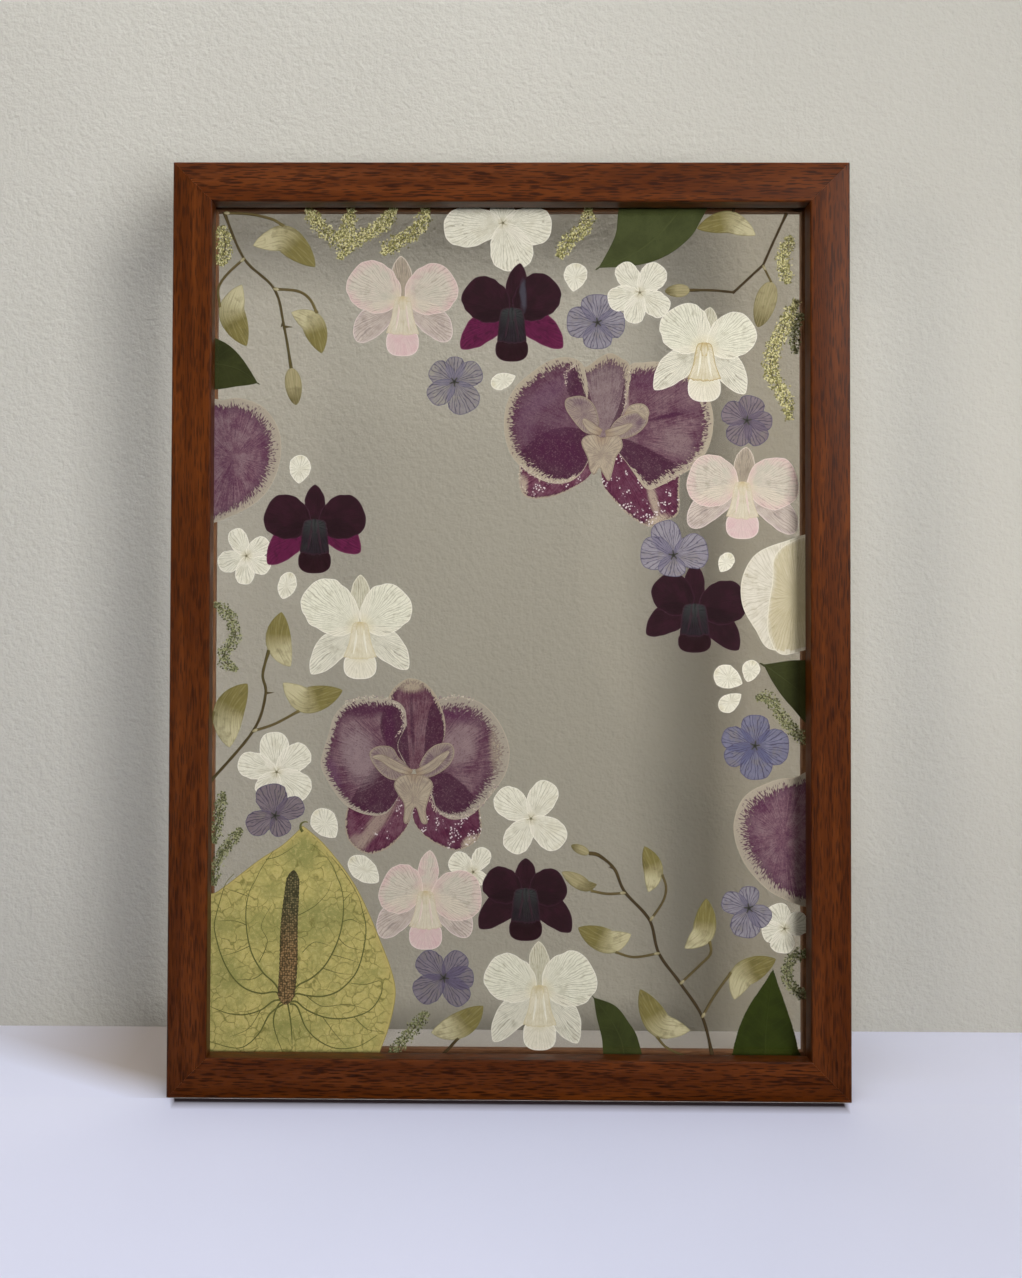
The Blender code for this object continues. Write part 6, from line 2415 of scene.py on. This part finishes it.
CATKINS = (
    Catkin("catkin_top_left", Layer.BACK, ((44.5, 412), (49, 404), (54, 399), (59, 396), (64, 400),
                                           (66, 412)), 6.4),
    Catkin("catkin_top_middle", Layer.BACK, ((87, 412), (82.5, 404), (71.5, 397), (63, 392), (60.5, 386)), 6.4),
    Catkin("catkin_top", Layer.BACK, ((102.5, 412), (100.5, 403), (93, 397), (85.5, 393), (81.5, 388.5)), 6.4),
    Catkin("catkin_top_right", Layer.BACK, ((183, 412), (181, 402), (173.5, 396), (168, 387)), 6.0),
    Catkin("catkin_right", Layer.FRONT, ((284.5, 366), (279, 355), (273, 342.5), (271, 333), (273.5, 326.5),
                                         (279, 317), (280.5, 307)), 6.4),
    Catkin("catkin_left", Layer.FRONT, ((0, 217), (6.5, 212), (10, 204.5), (10, 199), (5.5, 193), (5.5, 188),
                                        (11.5, 184)), 5.2, SHADED_CATKIN),
    Catkin("catkin_right_middle", Layer.FRONT, ((264, 171.5), (270.5, 172), (274.5, 166), (280.5, 158),
                                                (290, 149)), 5.2, SHADED_CATKIN),
    Catkin("catkin_bottom", Layer.BACK, ((105, 18.5), (97, 9), (87, -2)), 5.2, SHADED_CATKIN),
    Catkin("catkin_edge_top_left", Layer.BACK, ((2, 402.5), (4, 392), (1.5, 383)), 6.4, solid=False),
    Catkin("catkin_edge_top_right", Layer.FRONT, ((282, 397), (278, 389.5), (277.5, 382),
                                                  (280, 374)), 6.0, solid=False),
    Catkin("catkin_edge_right", Layer.BACK, ((287, 360), (283.5, 353),
                                             (283.5, 340)), 4.8, SHADED_CATKIN, solid=False),
    Catkin("catkin_edge_left", Layer.FRONT, ((14, 107), (7, 98), (2, 90),
                                             (0.5, 79.5)), 4.8, SHADED_CATKIN, solid=False),
    Catkin("catkin_edge_lower_left", Layer.FRONT, ((5, 125), (3, 113),
                                                   (0.5, 100)), 4.8, SHADED_CATKIN, solid=False),
    Catkin("catkin_ring_right", Layer.FRONT, ((290.5, 47.5), (284, 48), (279.5, 43), (279, 36.5), (282.5, 31),
                                              (290.5, 26.5)), 4.8, SHADED_CATKIN, solid=False),
)

CONFETTI_PETALS = Confetti((
    ((177, 384), (175, 370), 11.5, 0.9), ((135, 324), (147, 328.5), 8.0, 0.9),
    ((42, 289.5), (41, 275.5), 10.5, 0.78), ((37.5, 232), (33.5, 219), 9.0, 0.68),
    ((252, 242), (247, 233), 7.5, 0.78), ((67, 93), (81, 81.5), 11.5, 0.73),
    ((50, 116), (60, 103), 12.5, 0.78), ((244, 184.5), (257.5, 178.5), 11.5, 0.88),
    ((263, 190), (260, 179.5), 8.5, 0.78), ((246.5, 166), (257, 173.5), 8.5, 0.9),
))


# --- the stage, the lights and the camera ------------------------------------------------------------


@dataclass(frozen=True)
class Studio:
    """A pale table top, a pale wall behind the frame, soft lights, and the camera.

    Attributes:
        reach: half the width of table and wall, and the wall's height, metres.
        ambient: strength of the light from all around.
        wall_mm: how far behind the frame's back the wall stands.
        lens_px: focal length in pixels of the photograph.
        middle_px: where its axis meets it.
        image_px: the photograph's size.
        eye_mm: the camera's place.
        turn_degrees: its Euler turn.
        gauze_mm: how far behind the frame's front the gauzes hang.
        gauzes: each as (name, low corner, high corner, share of each colour that it lets through), mm.
    """

    reach: float = 1.6
    ambient: float = 0.13
    wall_mm: float = 80.5
    lens_px: float = 1183.3
    middle_px: Flat = (433.8, 607.6)
    image_px: tuple[int, int] = (1022, 1278)
    eye_mm: tuple[float, float, float] = (-31.1, -575.7, 223.9)
    turn_degrees: tuple[float, float, float] = (91.004, -0.226, 0.517)
    gauze_mm: float = 22.0
    gauzes: tuple[tuple[str, Flat, Flat, str], ...] = (
        ("gauze", (0, 0), (SETTING.width, SETTING.height), "fffefc"),
        ("gauze_right", (306.4, -10), (371, 459), "d8d2c6"),
        ("gauze_top", (-19, 429.4), (306.4, 459), "7d786e"),
    )

    def slab(self, name: str, low: tuple[float, ...], high: tuple[float, ...],
             material: bpy.types.Material) -> bpy.types.Object:
        """A flat rectangle between two corners, metres, that is part of the stage.

        Args:
            name: its name.
            low: one corner, metres.
            high: the corner opposite, metres.
            material: what it is dressed in.

        Returns:
            The object.
        """
        (x, y, z), (x_end, y_end, z_end) = low, high
        if z == z_end:
            corners = [(x, y, z), (x_end, y, z), (x_end, y_end, z), (x, y_end, z)]
        else:
            corners = [(x, y, z), (x_end, y, z), (x_end, y, z_end), (x, y, z_end)]
        mesh = bpy.data.meshes.new(name)
        mesh.from_pydata(corners, [], [(0, 1, 2, 3)])
        mesh.materials.append(material)
        made = bpy.data.objects.new(name, mesh)
        bpy.context.scene.collection.objects.link(made)
        return made

    def lamp(self, name: str, place: tuple[float, ...], aim: tuple[float, ...], size: float, watts: float,
             colour: str, glossy: bool = False, spread: float = 180.0) -> None:
        """A square soft light.

        Args:
            name: its name.
            place: where it is, metres.
            aim: what it points at.
            size: its side, metres.
            watts: its power.
            colour: its hex value.
            glossy: whether shiny surfaces mirror it.
            spread: the angle over which it shines, degrees.
        """
        data = bpy.data.lights.new(name, "AREA")
        data.size, data.energy, data.color = size, watts, linear(colour)[:3]
        data.spread = math.radians(spread)
        made = bpy.data.objects.new(name, data)
        made.location = place
        made.rotation_euler = self.towards(place, aim)
        made.visible_glossy = glossy
        made.visible_transmission = False
        bpy.context.scene.collection.objects.link(made)

    def towards(self, place: tuple[float, ...], aim: tuple[float, ...]) -> tuple[float, float, float]:
        """The Euler turn that points an object's -Z from place to aim."""
        x, y, z = np.subtract(aim, place)
        return (math.atan2(math.hypot(x, y), -z), 0.0, math.atan2(y, x) - math.pi / 2)

    def shade(self, name: str, low: tuple[float, ...], high: tuple[float, ...], let_through: str) -> None:
        """A gauze that the camera doesn't see. It holds back from the wall the light that the panes would.

        Args:
            name: its name.
            low: one corner, metres.
            high: the corner opposite, metres.
            let_through: hex value of the light that passes.
        """
        material = bpy.data.materials.new(name)
        material.use_nodes = True
        tree = material.node_tree
        clear = add(tree, "BsdfTransparent", {0: let_through})
        tree.links.new(clear.outputs[0], tree.nodes["Material Output"].inputs[0])
        made = self.slab(name, low, high, material)
        for ray in ("camera", "glossy", "transmission", "diffuse"):
            setattr(made, "visible_" + ray, False)

    def stand(self) -> None:
        """Makes the two slabs of the table top, the wall and the gauzes."""
        reach, edge, back = self.reach, CAD_BOX[0].y, CAD_BOX[1].y + self.wall_mm * MM
        gloss = {"roughness": 0.55, "lump_mm": 9, "relief_mm": 0.02}
        # The table top in front carries a painted contact shadow along the frame's foot.
        table = TableTop.toned("painted_table_top", "e2e5f8 dde1f4", **gloss)
        # The table top behind the frame carries a painted shadow, and a painted warmer tone behind the glass.
        shaded = TableBehind.toned("painted_table_top_shaded", "e1e4f8 dce0f4", **gloss)
        self.slab("table_top_behind", (-reach, edge, 0), (reach, back, 0), shaded.material())
        front = self.slab("table_top_in_front", (-reach, -reach, 0), (reach, edge, 0), table.material())
        front.visible_glossy = front.visible_transmission = False
        wall = Plaster.toned("painted_wall", "aaa9a2 a5a49d", roughness=0.9, lump_mm=2.7, relief_mm=1.0)
        self.slab("wall", (-reach, back, 0), (reach, back, reach), wall.one_sided()).visible_shadow = False
        for name, low, high, let_through in self.gauzes:
            near, far = (SETTING.place(np.array(corner, float), self.gauze_mm) for corner in (low, high))
            self.shade(name, tuple(near), tuple(far), let_through)

    def light(self) -> None:
        """Makes the lamps, and the soft light of the room."""
        self.lamp("key_window", (1.95, -3.7, 0.42), (0.0, 0.05, 0.25), 1.6, 176, "fffdfa")
        self.lamp("top_panel", (-0.1, -0.42, 1.4), (-0.1, -0.42, 0.0), 0.9, 2.6, "f0f3ff", spread=70)
        self.lamp("wall_wash", (-0.15, -0.5, 1.35), (-0.15, 0.09, 0.65), 0.5, 0.9, "ffffff", spread=60)
        self.lamp("fill_front", (-0.6, -1.8, 1.2), (0.0, 0.1, 0.3), 1.2, 2.4, "ffecd0")
        self.lamp("edge_fill", (-0.9, -1.1, 0.25), (0.14, 0.0, 0.25), 0.3, 0.2, "fff6ea", spread=26)
        self.lamp("rear_fill", (0.3, 1.7, 1.0), (0.0, 0.0, 0.25), 1.5, 9, "fff6ea")
        self.lamp("side_softbox", (0.82, -0.95, 0.74), (0.05, 0.0, 0.3), 0.5, 2.1, "ffffff", glossy=True)
        world = bpy.data.worlds.new("soft_room")
        world.use_nodes = True
        glow = world.node_tree.nodes["Background"]
        glow.inputs["Color"].default_value, glow.inputs["Strength"].default_value = linear("e4d4b6"), self.ambient
        world.cycles_visibility.glossy = False
        scene = bpy.context.scene
        scene.world = world
        scene.view_settings.view_transform = "Standard"
        scene.cycles.diffuse_bounces = 1
        scene.cycles.max_bounces = 8
        scene.cycles.caustics_reflective = scene.cycles.caustics_refractive = False

    def aim(self) -> None:
        """Makes the camera as it was solved from the photograph."""
        camera = bpy.data.cameras.new("camera")
        long_side = max(self.image_px)
        camera.lens = self.lens_px / long_side * camera.sensor_width
        camera.shift_x = (self.image_px[0] / 2 - self.middle_px[0]) / long_side
        camera.shift_y = (self.middle_px[1] - self.image_px[1] / 2) / long_side
        made = bpy.data.objects.new("camera", camera)
        made.location = [value * MM for value in self.eye_mm]
        made.rotation_euler = [math.radians(value) for value in self.turn_degrees]
        bpy.context.scene.collection.objects.link(made)
        bpy.context.scene.camera = made

    def build(self) -> None:
        """Makes the stage, the lights and the camera."""
        self.stand()
        self.light()
        self.aim()


def main() -> None:
    """Builds the classes in order: stage and camera, frame and glass, then everything that is pressed."""
    logging.basicConfig(level=logging.INFO, format="%(message)s")
    Studio().build()
    Moulding().build()
    glaze()
    flowers = (*DENDROBIUMS, *MOTH_ORCHIDS, *FLORETS, *LOOSE_PETALS, ANTHURIUM)
    for pressed in (*flowers, *LEAVES, *SPRIGS, *CATKINS, CONFETTI_PETALS):
        pressed.build()


if __name__ == "__main__":
    main()
